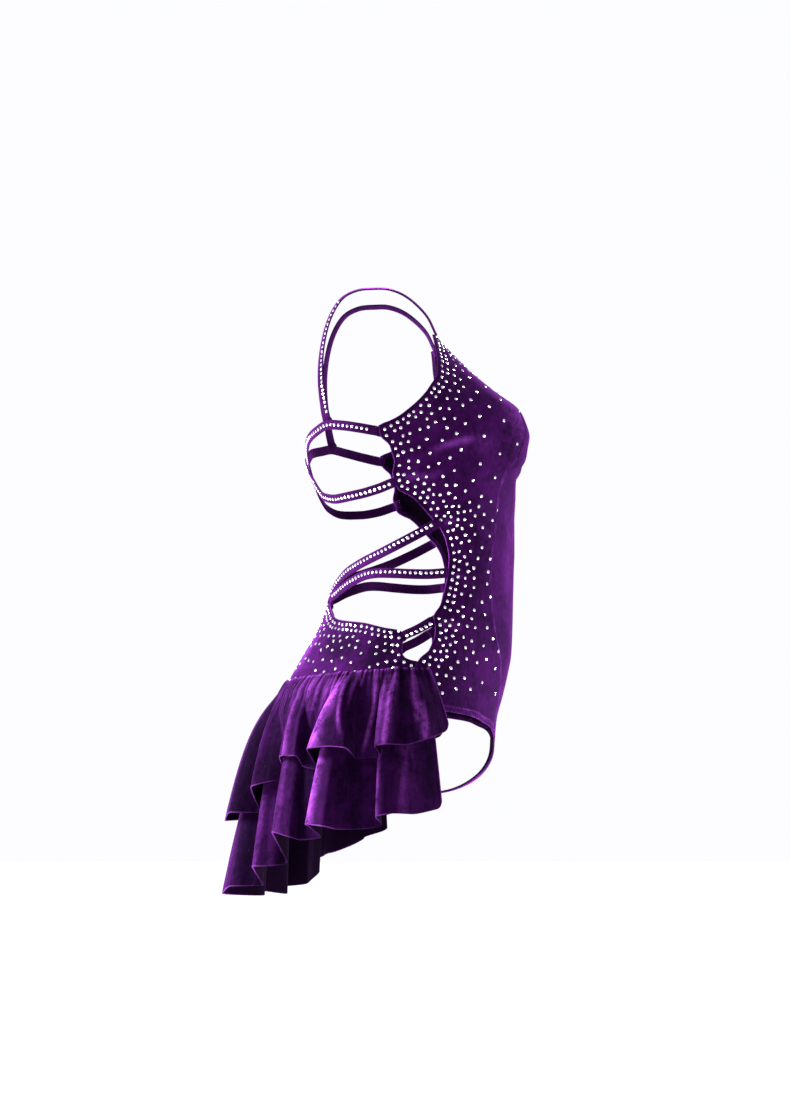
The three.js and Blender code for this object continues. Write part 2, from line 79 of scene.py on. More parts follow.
MIDDLE = np.array([0, -20, 0])  # of the dress, seen from above
RUFFLE_SEAM_SIDE = -474.5
RUFFLE_SEAM_BACK = -486
RUFFLE_SPACING = 17
STONE = 3.8
STONE_SIZES = (0.88, 1.1)  # smallest and largest, as parts of the usual one
STONE_CORNERS = 8
STONE_PITCH = 6.3  # along a strap

# ---- the cut, a row for each section ----

FIGURE = table(
    "height front back half middle front_power back_power cup",
    [-30, -56, 80, 104, 12, 2.2, 2.2, 0],
    [-60, -75, 95, 116, 12, 2.2, 2.2, 2],
    [-100, -103.8, 101, 132, 8, 2.3, 2.3, 12],
    [-130, -126, 101, 140, 4, 2.3, 2.3, 26],
    [-156, -146.8, 99, 144, -2, 2.3, 2.3, 39],
    [-180, -155, 96, 147, -8, 2.3, 2.3, 40],
    [-198, -160, 92, 148, -12, 2.3, 2.3, 33],
    [-215, -163, 87, 147, -17, 2.3, 2.3, 26],
    [-230, -165, 84, 144, -22, 2.3, 2.3, 12],
    [-256, -167, 77, 138, -30, 2.3, 2.3, 3],
    [-285, -166, 66, 131, -42, 2.3, 2.3, 0],
    [-320, -166, 52, 124, -53, 2.25, 2.25, 0],
    [-350, -165, 46, 121, -57, 2.2, 2.2, 0],
    [-385, -164, 62, 125, -52, 2.2, 2.2, 0],
    [-422, -163, 77, 139, -40, 2.15, 2.15, 0],
    [-450, -161.5, 93.2, 152, -28, 2.1, 2.1, 0],
    [-475, -157, 107.5, 163, -19, 2, 2, 0],
    [-500, -151, 119.5, 170, -14, 2.1, 2.05, 0],
    [-530, -143, 128, 174, -10, 2.3, 2.05, 0],
    [-560, -140, 126, 174, -8, 2.5, 2.05, 0],
)
PRINCESS_EDGE = table(
    "height angle",
    [-58, 24.5], [-75, 21], [-110, 24.5], [-150, 28.5], [-192, 32], [-238, 36], [-290, 40], [-332, 46],
    [-362, 47], [-399, 43], [-437, 35], [-462, 26.5], [-488, 20], [-520, 15.5], [-553, 12],
)
SIDE_EDGE = table(
    "height angle",
    [-58, 31], [-81, 46.4], [-107, 56.9], [-118, 60.6], [-129, 66.2], [-145, 73.7], [-160, 80.5],
    [-170, 85.2], [-178, 90], [-183, 94], [-195, 94], [-207, 90.8], [-222, 90.8], [-243, 93.8],
    [-257, 93.4], [-266, 89.2], [-280, 86.3], [-294, 83.2], [-304, 80.7], [-320, 78.7], [-338, 77.9],
    [-351, 78.4], [-378, 79.3], [-397, 80], [-409, 81.8], [-424, 78.8], [-439, 77.2], [-452, 77.5],
    [-461, 80], [-466, 80.5], [-525, 80.5],
)
NECKLINE = table("part height", [0, -141], [0.3, -133], [0.6, -113], [0.85, -89], [1, -75])
LEG_EDGE = table(
    "angle height",
    [12, -553], [15, -549], [23, -542], [32.6, -537], [42, -531], [52, -527.5], [61.5, -525], [80.5, -523],
)
GUSSET_NAMES = "centre_y centre_z edge_x edge_y edge_z turn"
FRONT_GUSSET = table(
    GUSSET_NAMES,
    [-138, -577, 48, -136, -574, 24],
    [-130, -592, 45, -128, -590, 26],
    [-115, -606, 42, -113, -604, 28],
    [-90, -617, 39, -90, -615.5, 30],
    [-58, -622.5, 37.5, -58, -621, 30],
    [-28, -624.5, 37, -28, -623.5, 30],
    [CROTCH_SEAM, -624.5, 37, CROTCH_SEAM, -623.5, 30],
)
SEAT_GUSSET = table(
    GUSSET_NAMES,
    [96, -602, 86, 85, -595, 52],
    [66, -616, 55, 60, -612, 40],
    [30, -623, 40, 28, -621.5, 32],
    [CROTCH_SEAM - CROTCH_LAP, -624.5, 37, CROTCH_SEAM - CROTCH_LAP, -623.5, 30],
)
SEAT = table(
    "edge_angle edge_height centre_height tuck",
    [80.5, -500, -510, 0], [80.5, -523, -530, 0], [96, -526.5, -547, 0.5],
    [112, -538, -562, 3], [128, -557, -576, 9], [139, -577, -590, 18],
)
YOKE_FRONT_ANGLE = 93.5
YOKE_EDGE = table(
    "angle height",
    [93.5, -431], [96, -428], [104, -425], [119, -418], [131, -415], [141, -412], [147, -408.5],
    [153, -402], [160, -394], [168, -389.5], [180, -388.5],
)
YOKE_FRONT = table(
    "height angle",
    [-431, 93.5], [-439.5, 91.6], [-450, 90.4], [-457, 89.2], [-461.5, 87.3], [-464.5, 84],
    [-466.2, 80.62], [-474.5, 80.62],
)
SHOULDER_STRAP = np.array([
    [-57, -68, -56.4], [-58, -56, -33], [-60, -34, -12], [-61, -12, -2], [-62, 8, -1], [-62, 29, -3.5],
    [-64, 48, -15], [-68, 62.5, -42], [-77, 70.5, -80], [-92, 71.5, -118], [-111, 67, -154],
    [-117.3, 63.8, -169.9],
])
UPPER_WAIST_STRAP = np.array([
    [-129.7, -66.8, -299.7], [-128, -42, -313], [-119, -16, -326], [-104, 3, -334.5], [-88, 18.8, -341.2],
    [-72, 29.3, -346], [-54, 39.4, -351.2], [-40, 46.2, -356.9], [-24, 53, -364], [-13, 58.5, -372],
    [-8, 61.5, -379], [-6.8, 63.6, -385.6],
])
LOWER_WAIST_STRAP = np.array([
    [-121.8, -79.2, -357.5], [-125.5, -60, -359.2], [-124.5, -40, -359], [-118.5, -18, -357.6],
    [-106, 3, -356.5], [-90, 18.8, -358.3], [-68, 34.7, -364.8], [-49, 45.5, -370.9], [-34, 53, -376.4],
    [-24, 58, -380], [-20, 60.5, -384],
])
BACK_BAND = table(
    "angle height",
    [95.4, -189], [105.7, -184.5], [118, -180], [129, -177.5], [141, -182], [157, -189.5], [169, -201],
    [180, -214], [190, -232], [198, -249], [205, -259], [221, -264.5], [241, -262], [255, -257],
    [266.25, -249.5],
)
CROSSING_RISE = 2.9
CROSSING_SPREAD = 11
HIP_STRAP = table("angle height", [91.95, -434.2], [87, -426.5], [81.75, -416.9])

# A ruffle's folds, a row for each ridge and trough. reach and drop are from the seam to the hem, and
# lean is the hem's shift along the seam, positive towards the nearer front end.
FOLD_NAMES = "angle reach drop lean"
UPPER_FOLDS = table(
    FOLD_NAMES,
    [73.3, 30, 72, 12], [80, 44, 84, 0], [86, 49, 90, -6], [91, 51, 89, -8], [94.5, 43, 90, -7],
    [99, 29, 102, 9], [104.5, 27, 103, -4], [109, 57, 90, 7], [113, 58, 88, -2], [117, 48, 91, -19],
    [122.5, 26, 113, -5], [131, 27, 108, -3], [138, 40, 95, 20], [143, 40, 95, 8],
    [149, 18, 119, 3], [157, 37, 124, 12], [162, 51, 130, 13], [169, 33, 160, 3],
    [177, 69, 159, 14], [182, 76.5, 170, 4], [190, 33, 166, 10], [196, 50, 151, 18],
    [201, 54, 147, 4], [208, 30, 134, 16], [215, 40, 112, 14], [220, 44, 110, 2], [227, 26, 118, 2],
    [235, 28, 112, -2], [241, 52, 94, -14], [246, 58, 90, 4], [251, 50, 92, 10], [257, 27, 105, 2],
    [263, 30, 102, 8], [268, 50, 90, -6], [274, 47, 88, -2], [281, 42, 82, 0], [286.7, 30, 72, 12],
)
LOWER_FOLDS = table(
    FOLD_NAMES,
    [73.3, 24, 146, 8], [81, 34, 153, -7], [87, 38, 152, -8], [91.5, 41, 153, -5],
    [94.5, 33, 156, -2], [99, 17, 165, 12], [104.5, 22, 168, -1], [109, 39, 167, -5],
    [113, 54, 163, -2], [117, 44, 161, -15], [122.5, 18, 176, 2], [131, 21, 178, -2],
    [138, 36, 173, 15], [143, 39, 168, 5], [149, 11, 204, 4], [157, 27, 207, 17],
    [162, 42, 208, 17], [169, 23, 231, 5], [177, 60, 232, 16], [182, 72, 243, 3],
    [190, 27, 247, 14], [196, 46, 245, 24], [201, 54, 243, 8], [208, 26, 250, 26],
    [215, 42, 246, 18], [220, 50, 244, 2], [227, 22, 240, 2], [235, 24, 228, 0],
    [241, 44, 214, -12], [246, 54, 206, 2], [251, 42, 196, 8], [257, 20, 186, 0],
    [263, 19, 176, 12], [268, 36, 162, -4], [274, 40, 156, -8], [281, 33, 152, -6],
    [286.7, 24, 146, 8],
)
UPPER_FLARE = 0.5
LOWER_FLARE = 0.7
SEAM_EASE = 20

# ---- the camera ----

CAMERA_PLACE = (-3.2, -0.0184, -0.605)
CAMERA_AIM = (0.0, -0.0184, -0.3245)
LENS = 83.4  # millimetres, for a long side of 36


def make_camera():
    data = bpy.data.cameras.new("camera")
    data.lens = LENS
    camera = bpy.data.objects.new("camera", data)
    bpy.context.scene.collection.objects.link(camera)
    camera.location = CAMERA_PLACE
    direction = Vector(CAMERA_AIM) - Vector(CAMERA_PLACE)
    camera.rotation_euler = direction.to_track_quat("-Z", "Y").to_euler()
    bpy.context.scene.camera = camera


make_camera()


# ---- curves and the general figure ----

def through(rows, along, value):
    """A smooth curve through a table's rows that never swings past them (monotone cubic)."""
    order = np.argsort(rows[along])
    x, y = rows[along][order], rows[value][order]
    slope = np.diff(y) / np.diff(x)
    before, after = slope[:-1], slope[1:]
    rising = before * after > 0
    inner = np.where(rising, 2 * before * after / np.where(rising, before + after, 1), 0)
    tangent = np.concatenate([slope[:1], inner, slope[-1:]])

    def curve(at):
        at = np.clip(at, x[0], x[-1])
        i = np.clip(np.searchsorted(x, at) - 1, 0, len(x) - 2)
        span = x[i + 1] - x[i]
        t = (at - x[i]) / span
        bend = t * (1 - t) ** 2 * tangent[i] + t * t * (t - 1) * tangent[i + 1]
        return y[i] + (y[i + 1] - y[i]) * t * t * (3 - 2 * t) + span * bend

    return curve


def mix(start, end, part):
    """The place between start, at part 0, and end, at part 1."""
    return start + (end - start) * part


figure_curves = {key: through(FIGURE, "height", key) for key in FIGURE}
princess_angle = through(PRINCESS_EDGE, "height", "angle")
side_angle = through(SIDE_EDGE, "height", "angle")
neckline_height = through(NECKLINE, "part", "height")
leg_height = through(LEG_EDGE, "angle", "height")
yoke_height = through(YOKE_EDGE, "angle", "height")
yoke_front_angle = through(YOKE_FRONT, "height", "angle")


def figure(angle, height):
    """A superellipse section at each height, with a bell-shaped cup on each side of the front."""
    angle, height = np.broadcast_arrays(np.asarray(angle, float), np.asarray(height, float))
    sine, cosine = np.sin(np.radians(angle)), np.cos(np.radians(angle))
    at = {key: curve(height) for key, curve in figure_curves.items()}
    depth = np.where(cosine > 0, at["front"], at["back"])
    roundness = 2 / np.where(cosine > 0, at["front_power"], at["back_power"])
    x = -at["half"] * np.sign(sine) * np.abs(sine) ** roundness
    y = at["middle"] + (depth - at["middle"]) * np.abs(cosine) ** roundness
    bell = np.exp(-(((np.abs(x) - CUP_CENTRE) / CUP_SPREAD) ** 2))
    forward = np.clip(3 * cosine, 0, 1)
    return np.stack([x, y - at["cup"] * bell * forward, height], -1)


def unit(vectors):
    return vectors / np.maximum(np.linalg.norm(vectors, axis=-1, keepdims=True), 1e-9)


def figure_normal(angle, height):
    turn = 0.5
    around = figure(angle + turn, height) - figure(angle - turn, height)
    down = figure(angle, height - 1) - figure(angle, height + 1)
    return unit(np.cross(around, down))


def path_through(points, step):
    """A smooth path through points (Catmull-Rom), cut into even steps."""
    ends = np.vstack([2 * points[0] - points[1], points, 2 * points[-1] - points[-2]])
    t = np.linspace(0, 1, 24, endpoint=False)[None, :, None]
    a, b, c, d = (ends[k:len(ends) - 3 + k, None] for k in range(4))
    cubic = (d - a + 3 * (b - c)) * t**3 + (2 * a - 5 * b + 4 * c - d) * t**2 + (c - a) * t + 2 * b
    dense = np.vstack([cubic.reshape(-1, 3) / 2, points[-1:]])
    return even_steps(dense, step)


def lengths_along(line):
    return np.concatenate([[0], np.cumsum(np.linalg.norm(np.diff(line, axis=0), axis=1))])


def even_steps(line, step):
    along = lengths_along(line)
    at = np.linspace(0, along[-1], max(int(round(along[-1] / step)), 2) + 1)
    return np.stack([np.interp(at, along, line[:, k]) for k in range(3)], -1)


def loft(rows, count):
    """A smooth surface through a few rows of points, each column a path of count + 1 points. The
    rows lie at their mean distance along the columns."""
    rows = np.array(rows)
    place = np.concatenate([[0], np.cumsum(np.linalg.norm(np.diff(rows, axis=0), axis=-1).mean(1))])
    at = np.linspace(0, place[-1], count + 1)
    slope = np.diff(rows, axis=0) / np.diff(place)[:, None, None]
    tangent = np.concatenate([slope[:1], (slope[:-1] + slope[1:]) / 2, slope[-1:]])
    i = np.clip(np.searchsorted(place, at) - 1, 0, len(place) - 2)
    span = (place[i + 1] - place[i])[:, None, None]
    t = (at - place[i])[:, None, None] / span
    ease = t * t * (3 - 2 * t)
    bend = t * (1 - t) ** 2 * tangent[i] + t * t * (t - 1) * tangent[i + 1]
    return rows[i] * (1 - ease) + rows[i + 1] * ease + span * bend


def fine_ends(count, rim):
    """Parts from 0 to 1 in even steps, with extra ones close to both ends for a rounded rim."""
    close = rim * np.array([0.12, 0.4, 1.0, 2.2])
    even = np.linspace(0, 1, count + 1)[1:-1]
    inner = even[(even > 3 * rim) & (even < 1 - 3 * rim)]
    return np.concatenate([[0], close, inner, 1 - close[::-1], [1]])


# ---- cloth grids ----

def outward(points):
    """Unit normals of a grid, on the side that looks away from the middle of the dress."""
    normal = unit(np.cross(np.gradient(points, axis=1), np.gradient(points, axis=0)))
    away = points - MIDDLE
    away[..., 2] = 0
    return normal * np.sign(np.sum(normal * away))


def lengths_across(points):
    step = np.linalg.norm(np.diff(points, axis=1), axis=-1)
    return np.pad(np.cumsum(step, axis=1), ((0, 0), (1, 0)))


def rim_distance(points):
    """Distance of each grid point from the nearest of the grid's four sides, along its row and column."""
    across = lengths_across(points)
    down = lengths_across(points.swapaxes(0, 1)).T
    return np.minimum.reduce([across, across[:, -1:] - across, down, down[-1:] - down])


def nearest(points, line):
    """Distance of each point from a line, and how far along the line its nearest place is."""
    flat = points.reshape(-1, 3)
    best = np.full(len(flat), np.inf)
    place = np.zeros(len(flat))
    along = lengths_along(line)
    for start, step, base in zip(line[:-1], np.diff(line, axis=0), along):
        size = np.linalg.norm(step)
        part = np.clip((flat - start) @ step / size**2, 0, 1)
        gap = np.linalg.norm(flat - start - part[:, None] * step, axis=1)
        closer = gap < best
        best = np.where(closer, gap, best)
        place = np.where(closer, base + part * size, place)
    return best.reshape(points.shape[:-1]), place.reshape(points.shape[:-1])


def bump(distance, width):
    """A soft round rise: 1 at no distance, falling as a bell of the given width."""
    return np.exp(-((distance / width) ** 2))


def turned_edge(distance):
    """Rise of the cloth by an open edge: two layers over the turning, and a shallow stitched line."""
    layers = 0.55 / (1 + np.exp((distance - TURNING) / 0.5))
    return layers - 0.35 * bump(distance - TURNING - 0.3, 0.8)


def soft_folds(points, folds):
    """Soft ridges (or troughs, where height is negative) along short paths on the figure, or in the
    same shape patches of painted highlight (painted shade where negative). Each rises over its first
    quarter, fades over its last and is bell-shaped across."""
    rise = np.zeros(points.shape[:-1])
    for from_angle, from_height, to_angle, to_height, bow, width, height in folds:
        t = np.linspace(0, 1, 14)
        angle = mix(from_angle, to_angle, t)
        line = figure(angle, mix(from_height, to_height, t) + bow * np.sin(np.pi * t))
        gap, place = nearest(points, line)
        part = place / lengths_along(line)[-1]
        rise += height * bump(gap, width) * np.sin(np.pi * np.clip(part, 0.02, 0.98)) ** 0.7
    return rise


def cloth_faces(points, thickness, relief):
    """The outer and inner face of cloth whose inner side lies on the grid. Towards the rims the half
    thickness follows a quarter circle down to nothing, so the faces meet in a rounded rim."""
    normal = outward(points)
    half = thickness / 2
    swell = half * np.sqrt(1 - (1 - np.clip(rim_distance(points) / half, 0, 1)) ** 2)
    middle = points + normal * half
    outer = middle + normal * (swell + relief)[..., None]
    inner = middle - normal * swell[..., None]
    return outer, inner


# ---- meshes ----

def grid_quads(index):
    """The four corners of each cell of a grid of point numbers."""
    return np.stack([index[:-1, :-1], index[:-1, 1:], index[1:, 1:], index[1:, :-1]], -1).reshape(-1, 4)


def facing_out(points, quads):
    """The quads, turned round where needed so that the closed body's volume is positive."""
    a, b, c, d = (points[quads[:, k]] for k in range(4))
    volume = np.sum(a * np.cross(b, c)) + np.sum(a * np.cross(c, d))
    return quads if volume > 0 else quads[:, ::-1]


def tube_faces(points):
    """The quads round a closed profile carried along a path, a row for each profile, and a cap on
    each end, all facing out."""
    rows, columns = points.shape[:2]
    index = np.arange(rows * columns).reshape(rows, columns)
    quads = grid_quads(np.hstack([index, index[:, :1]]))
    caps = [index[0, ::-1], index[-1]]
    turned = facing_out(points.reshape(-1, 3), quads)
    if turned is not quads:
        caps = [cap[::-1] for cap in caps]
    return turned.tolist() + [cap.tolist() for cap in caps]


def make_piece(name, points, faces, materials, face_material=None, uv=None, smooth=True):
    """A mesh at the origin with its place in its points, on the root body."""
    mesh = bpy.data.meshes.new(name)
    mesh.from_pydata((points * MM).tolist(), [], faces if isinstance(faces, list) else faces.tolist())
    mesh.polygons.foreach_set("use_smooth", np.full(len(mesh.polygons), smooth))
    for material in materials:
        mesh.materials.append(material)
    if face_material is not None:
        mesh.polygons.foreach_set("material_index", face_material.astype(np.int32))
    if uv is not None:
        corners = np.zeros(len(mesh.loops), np.int32)
        mesh.loops.foreach_get("vertex_index", corners)
        mesh.uv_layers.new(name="cloth").data.foreach_set("uv", (uv[corners] * MM).ravel())
    mesh.update()
    piece = bpy.data.objects.new(name, mesh)
    bpy.context.scene.collection.objects.link(piece)
    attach(piece, "root")
    return piece


def set_painted_light(piece, values):
    """Painted light and shade at each point, for the pile to read: a painted highlight above 0, painted
    shade below 0.
    """
    piece.data.attributes.new("painted_light", "FLOAT", "POINT").data.foreach_set("value", values)


def make_cloth(name, grid, thickness, relief, pile, turned=None, painted_light=None, radiating=False):
    """A cloth piece: its outer face is pile, and so is the inner face where the edge is turned in,
    which is where the distance turned is short. On a radiating piece the pile's streaks follow the
    columns as these spread out."""
    outer, inner = cloth_faces(grid, thickness, relief)
    rows, columns = grid.shape[:2]
    outer_index = np.arange(rows * columns).reshape(rows, columns)
    inner_index = outer_index.copy()
    inside = np.arange((rows - 2) * (columns - 2)).reshape(rows - 2, columns - 2)
    inner_index[1:-1, 1:-1] = rows * columns + inside
    points = np.vstack([outer.reshape(-1, 3), inner[1:-1, 1:-1].reshape(-1, 3)])
    quads = np.vstack([grid_quads(outer_index), grid_quads(inner_index)[:, ::-1]])
    half = len(quads) // 2
    behind = np.arange(len(quads)) >= half
    if turned is not None:
        cell = turned[grid_quads(outer_index)[:, 0] // columns, grid_quads(outer_index)[:, 0] % columns]
        behind[half:] &= cell > TURNING
    across = lengths_across(grid)
    across -= across[:, -1:] / 2
    if radiating:
        across = np.repeat(across[len(across) // 2][None], len(across), 0)
    down = lengths_across(grid.swapaxes(0, 1)).T
    flat = np.stack([across, -down], -1)
    uv = np.vstack([flat.reshape(-1, 2), flat[1:-1, 1:-1].reshape(-1, 2)])
    materials = [pile, velvet_reverse_painted_shade]
    piece = make_piece(name, points, facing_out(points, quads), materials, behind, uv)
    if painted_light is not None:
        set_painted_light(piece, np.concatenate([painted_light.ravel(), painted_light[1:-1, 1:-1].ravel()]))
    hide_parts(name)
    return piece, outer


# ---- materials ----

def add_node(tree, kind, **values):
    """A node with its named inputs or properties set."""
    node = tree.nodes.new(kind)
    for key, value in values.items():
        name = key.replace("_", " ").title()
        if hasattr(node, key):
            setattr(node, key, value)
        else:
            node.inputs[name].default_value = value
    return node


FIRST_COLOUR, SECOND_COLOUR, MIXED_COLOUR = 6, 7, 2  # a Mix node's sockets of these have one name


def pile_group():
    """Velvet pile. Its colour is the cloth's own, varied four ways: broad cloudy nap, streaks that
    run down the cloth, mottles some millimetres across, and grain of about a millimetre. On that,
    the piece's painted_light attribute paints light and shade: brighter, up to the lit colour, where
    a highlight is painted, and darker where shade is painted. Its height is the grain on the soft
    dents where the nap is crushed, each some millimetres across and longer down the cloth."""
    group = bpy.data.node_groups.new("velvet_pile", "ShaderNodeTree")
    for name in ("Colour", "Bright Tone And Painted Light Colour", "Lit Colour"):
        group.interface.new_socket(name, in_out="INPUT", socket_type="NodeSocketColor")
    for name in ("Cloud", "Streak", "Mottle", "Grain", "Dents"):
        group.interface.new_socket(name, in_out="INPUT", socket_type="NodeSocketFloat")
    group.interface.new_socket("Colour", in_out="OUTPUT", socket_type="NodeSocketColor")
    group.interface.new_socket("Height", in_out="OUTPUT", socket_type="NodeSocketFloat")
    link = group.links.new
    given = group.nodes.new("NodeGroupInput")
    result = group.nodes.new("NodeGroupOutput")
    place = group.nodes.new("ShaderNodeTexCoord")

    def noise(where, **values):
        texture = add_node(group, "ShaderNodeTexNoise", **values)
        link(where, texture.inputs["Vector"])
        return texture

    def on_cloth(across, down):
        """Places on the flat cloth, in noise cells a metre across it and down it."""
        mapping = add_node(group, "ShaderNodeMapping")
        mapping.inputs["Scale"].default_value = (across, down, 1.0)
        link(place.outputs["UV"], mapping.inputs["Vector"])
        return mapping.outputs["Vector"]

    in_space = place.outputs["Object"]
    cloud = noise(in_space, scale=26.0, detail=3.0, roughness=0.55, distortion=0.6)
    streak = noise(on_cloth(230.0, 26.0), scale=1.0, detail=3.0, roughness=0.6, distortion=0.4)
    mottle = noise(in_space, scale=150.0, detail=4.0, roughness=0.65)
    grain = noise(in_space, scale=900.0, detail=2.0, roughness=0.6)
    dents = noise(on_cloth(120.0, 70.0), scale=1.0, detail=1.0, roughness=0.5, distortion=0.4)
    total = None
    for texture, amount in ((cloud, "Cloud"), (streak, "Streak"), (mottle, "Mottle"), (grain, "Grain")):
        centred = add_node(group, "ShaderNodeMath", operation="SUBTRACT")
        link(texture.outputs["Fac"], centred.inputs[0])
        centred.inputs[1].default_value = 0.5
        scaled = add_node(group, "ShaderNodeMath", operation="MULTIPLY_ADD")
        link(centred.outputs[0], scaled.inputs[0])
        link(given.outputs[amount], scaled.inputs[1])
        scaled.inputs[2].default_value = 0.5 if total is None else 0.0
        if total is not None:
            link(total.outputs[0], scaled.inputs[2])
        total = scaled
    painted_brightness = add_node(group, "ShaderNodeAttribute", attribute_name="painted_light")
    lit = add_node(group, "ShaderNodeMath", operation="MULTIPLY")
    link(total.outputs[0], lit.inputs[0])
    link(painted_brightness.outputs["Fac"], lit.inputs[1])
    shaded = add_node(group, "ShaderNodeMath", operation="ADD")
    link(total.outputs[0], shaded.inputs[0])
    link(painted_brightness.outputs["Fac"], shaded.inputs[1])
    colour = given.outputs["Colour"]
    for factor, name in ((shaded, "Bright Tone And Painted Light Colour"), (lit, "Lit Colour")):
        blend = group.nodes.new("ShaderNodeMix")
        blend.data_type = "RGBA"
        link(factor.outputs[0], blend.inputs["Factor"])
        link(colour, blend.inputs[FIRST_COLOUR])
        link(given.outputs[name], blend.inputs[SECOND_COLOUR])
        colour = blend.outputs[MIXED_COLOUR]
    link(colour, result.inputs["Colour"])
    height = add_node(group, "ShaderNodeMath", operation="MULTIPLY_ADD")
    link(dents.outputs["Fac"], height.inputs[0])
    link(given.outputs["Dents"], height.inputs[1])
    link(grain.outputs["Fac"], height.inputs[2])
    link(height.outputs[0], result.inputs["Height"])
    return group


PILE = pile_group()


def new_material(name):
    material = bpy.data.materials.new(name)
    material.use_nodes = True
    tree = material.node_tree
    return material, tree, tree.nodes["Principled BSDF"]


def velvet(name, dark, bright, lit, sheen, sheen_roughness, bump_distance, **amounts):
    """Velvet between a dark and a bright colour, with painted highlights in the lit colour and painted
    shade. amounts are how strongly each of the pile's own patterns shows."""
    material, tree, shader = new_material(name)
    pile = tree.nodes.new("ShaderNodeGroup")
    pile.node_tree = PILE
    for key, colour in (("Colour", dark), ("Bright Tone And Painted Light Colour", bright), ("Lit Colour", lit)):
        pile.inputs[key].default_value = (*colour, 1)
    for key, amount in amounts.items():
        pile.inputs[key.title()].default_value = amount
    tree.links.new(pile.outputs["Colour"], shader.inputs["Base Color"])
    relief = add_node(tree, "ShaderNodeBump", strength=0.6, distance=bump_distance)
    tree.links.new(pile.outputs["Height"], relief.inputs["Height"])
    tree.links.new(relief.outputs["Normal"], shader.inputs["Normal"])
    shader.inputs["Roughness"].default_value = 0.95
    shader.inputs["Specular IOR Level"].default_value = 0.02
    shader.inputs["Sheen Weight"].default_value = sheen
    shader.inputs["Sheen Roughness"].default_value = sheen_roughness
    shader.inputs["Sheen Tint"].default_value = (*VIOLET, 1)
    return material


VIOLET = (0.62, 0.1, 0.92)
# LIT is the colour of painted highlights on the velvet.
LIT = (0.3, 0.055, 0.46)
body_velvet = velvet(
    "body_velvet", dark=(0.012, 0.001, 0.022), bright=(0.045, 0.0036, 0.076), lit=LIT,
    sheen=0.8, sheen_roughness=0.16, bump_distance=0.00025,
    cloud=1.5, streak=0.5, mottle=1.3, grain=0.9, dents=3,
)
# The ruffles' velvet is a darker copy of the body's: its darkness is painted shade for the ruffles' walls,
# and its lit colour a brighter painted highlight.
ruffle_velvet = velvet(
    "ruffle_velvet", dark=(0.005, 0.0005, 0.01), bright=(0.026, 0.0022, 0.045), lit=(0.38, 0.07, 0.57),
    sheen=0.6, sheen_roughness=0.22, bump_distance=0.0003,
    cloud=1.6, streak=0.9, mottle=1.3, grain=1.4, dents=7,
)
strap_velvet = velvet(
    "strap_velvet", dark=(0.012, 0.0012, 0.022), bright=(0.045, 0.004, 0.075), lit=LIT,
    sheen=0.9, sheen_roughness=0.25, bump_distance=0.00025,
    cloud=1.0, streak=0.4, mottle=0.8, grain=0.9, dents=1,
)
# The inner face is duller than the pile, and its near-black colour is painted shade inside the dress.
velvet_reverse_painted_shade = velvet(
    "velvet_reverse_painted_shade", dark=(0.002, 0.0003, 0.004), bright=(0.006, 0.0009, 0.01),
    lit=(0.008, 0.0013, 0.014), sheen=0.05, sheen_roughness=0.3, bump_distance=0.00012,
    cloud=0.8, streak=0.8, mottle=0.6, grain=0.6, dents=1,
)
hem_thread = velvet(
    "hem_thread", dark=(0.012, 0.002, 0.021), bright=(0.075, 0.013, 0.115), lit=LIT,
    sheen=0.3, sheen_roughness=0.3, bump_distance=0.0002,
    cloud=0.6, streak=0.4, mottle=0.6, grain=0.9, dents=1,
)


def cut_glass_painted_glow():
    material, tree, shader = new_material("cut_glass_painted_glow")
    shader.inputs["Base Color"].default_value = (0.93, 0.92, 0.97, 1)
    shader.inputs["Metallic"].default_value = 0.85
    shader.inputs["Roughness"].default_value = 0.12
    # A faint painted glow in the stones, standing in for their glints.
    shader.inputs["Emission Color"].default_value = (0.9, 0.88, 1.0, 1)
    shader.inputs["Emission Strength"].default_value = 0.25
    return material


stone_glass = cut_glass_painted_glow()

# ---- body panels ----

SEAM_LAP = 0.15  # degrees that a panel is carried on past its seam, into its neighbour
SEAT_LEG_ROW = 40  # first row of the seat's grid that ends at the leg openings


def gusset_row(rows, i, part):
    """A row of the brief: an arc from the centre line to the leg opening, and its mirror image."""
    side = 1 - 2 * part
    turn = np.radians(rows["turn"][i])
    inward = (1 - np.cos(turn * np.abs(side))) / (1 - np.cos(turn))
    x = -np.sign(side) * rows["edge_x"][i] * np.sin(turn * np.abs(side)) / np.sin(turn)
    y = mix(rows["centre_y"][i], rows["edge_y"][i], inward)
    z = mix(rows["centre_z"][i], rows["edge_z"][i], inward)
    return np.stack([x, y, z], -1)


def front_centre_grid():
    """Rows from seam to seam: the first along the neckline, and the last at the crotch."""
    part = fine_ends(count=52, rim=0.006)
    side = 1 - 2 * part
    corner = LEG_EDGE["height"][0]
    rows = []
    for edge in np.linspace(NECKLINE_END, corner, 60):
        down = (edge - NECKLINE_END) / (corner - NECKLINE_END)
        height = edge + (neckline_height(np.abs(side)) - NECKLINE_END) * (1 - down)
        height = height + (1 - np.abs(side)) * (LEG_ROW_CENTRE - corner) * down
        rows.append(figure((princess_angle(edge) + SEAM_LAP) * side, height))
    rows += [gusset_row(FRONT_GUSSET, i, part) for i in range(len(FRONT_GUSSET["turn"]))]
    return with_fine_rows(loft(rows, count=210))


FINE_ROWS = (0.1, 0.35, 0.8)  # distances from a rim


def with_fine_rows(grid):
    """Extra rows close to the first and the last one, for rounded rims."""
    close = np.array(FINE_ROWS)[:, None, None]

    def toward(row, after):
        size = np.linalg.norm(after - row, axis=-1, keepdims=True)
        return row + (after - row) * np.minimum(close / size, 0.9)

    first = toward(grid[0], grid[1])
    last = toward(grid[-1], grid[-2])[::-1]
    return np.concatenate([grid[:1], first, grid[1:-1], last, grid[-1:]])


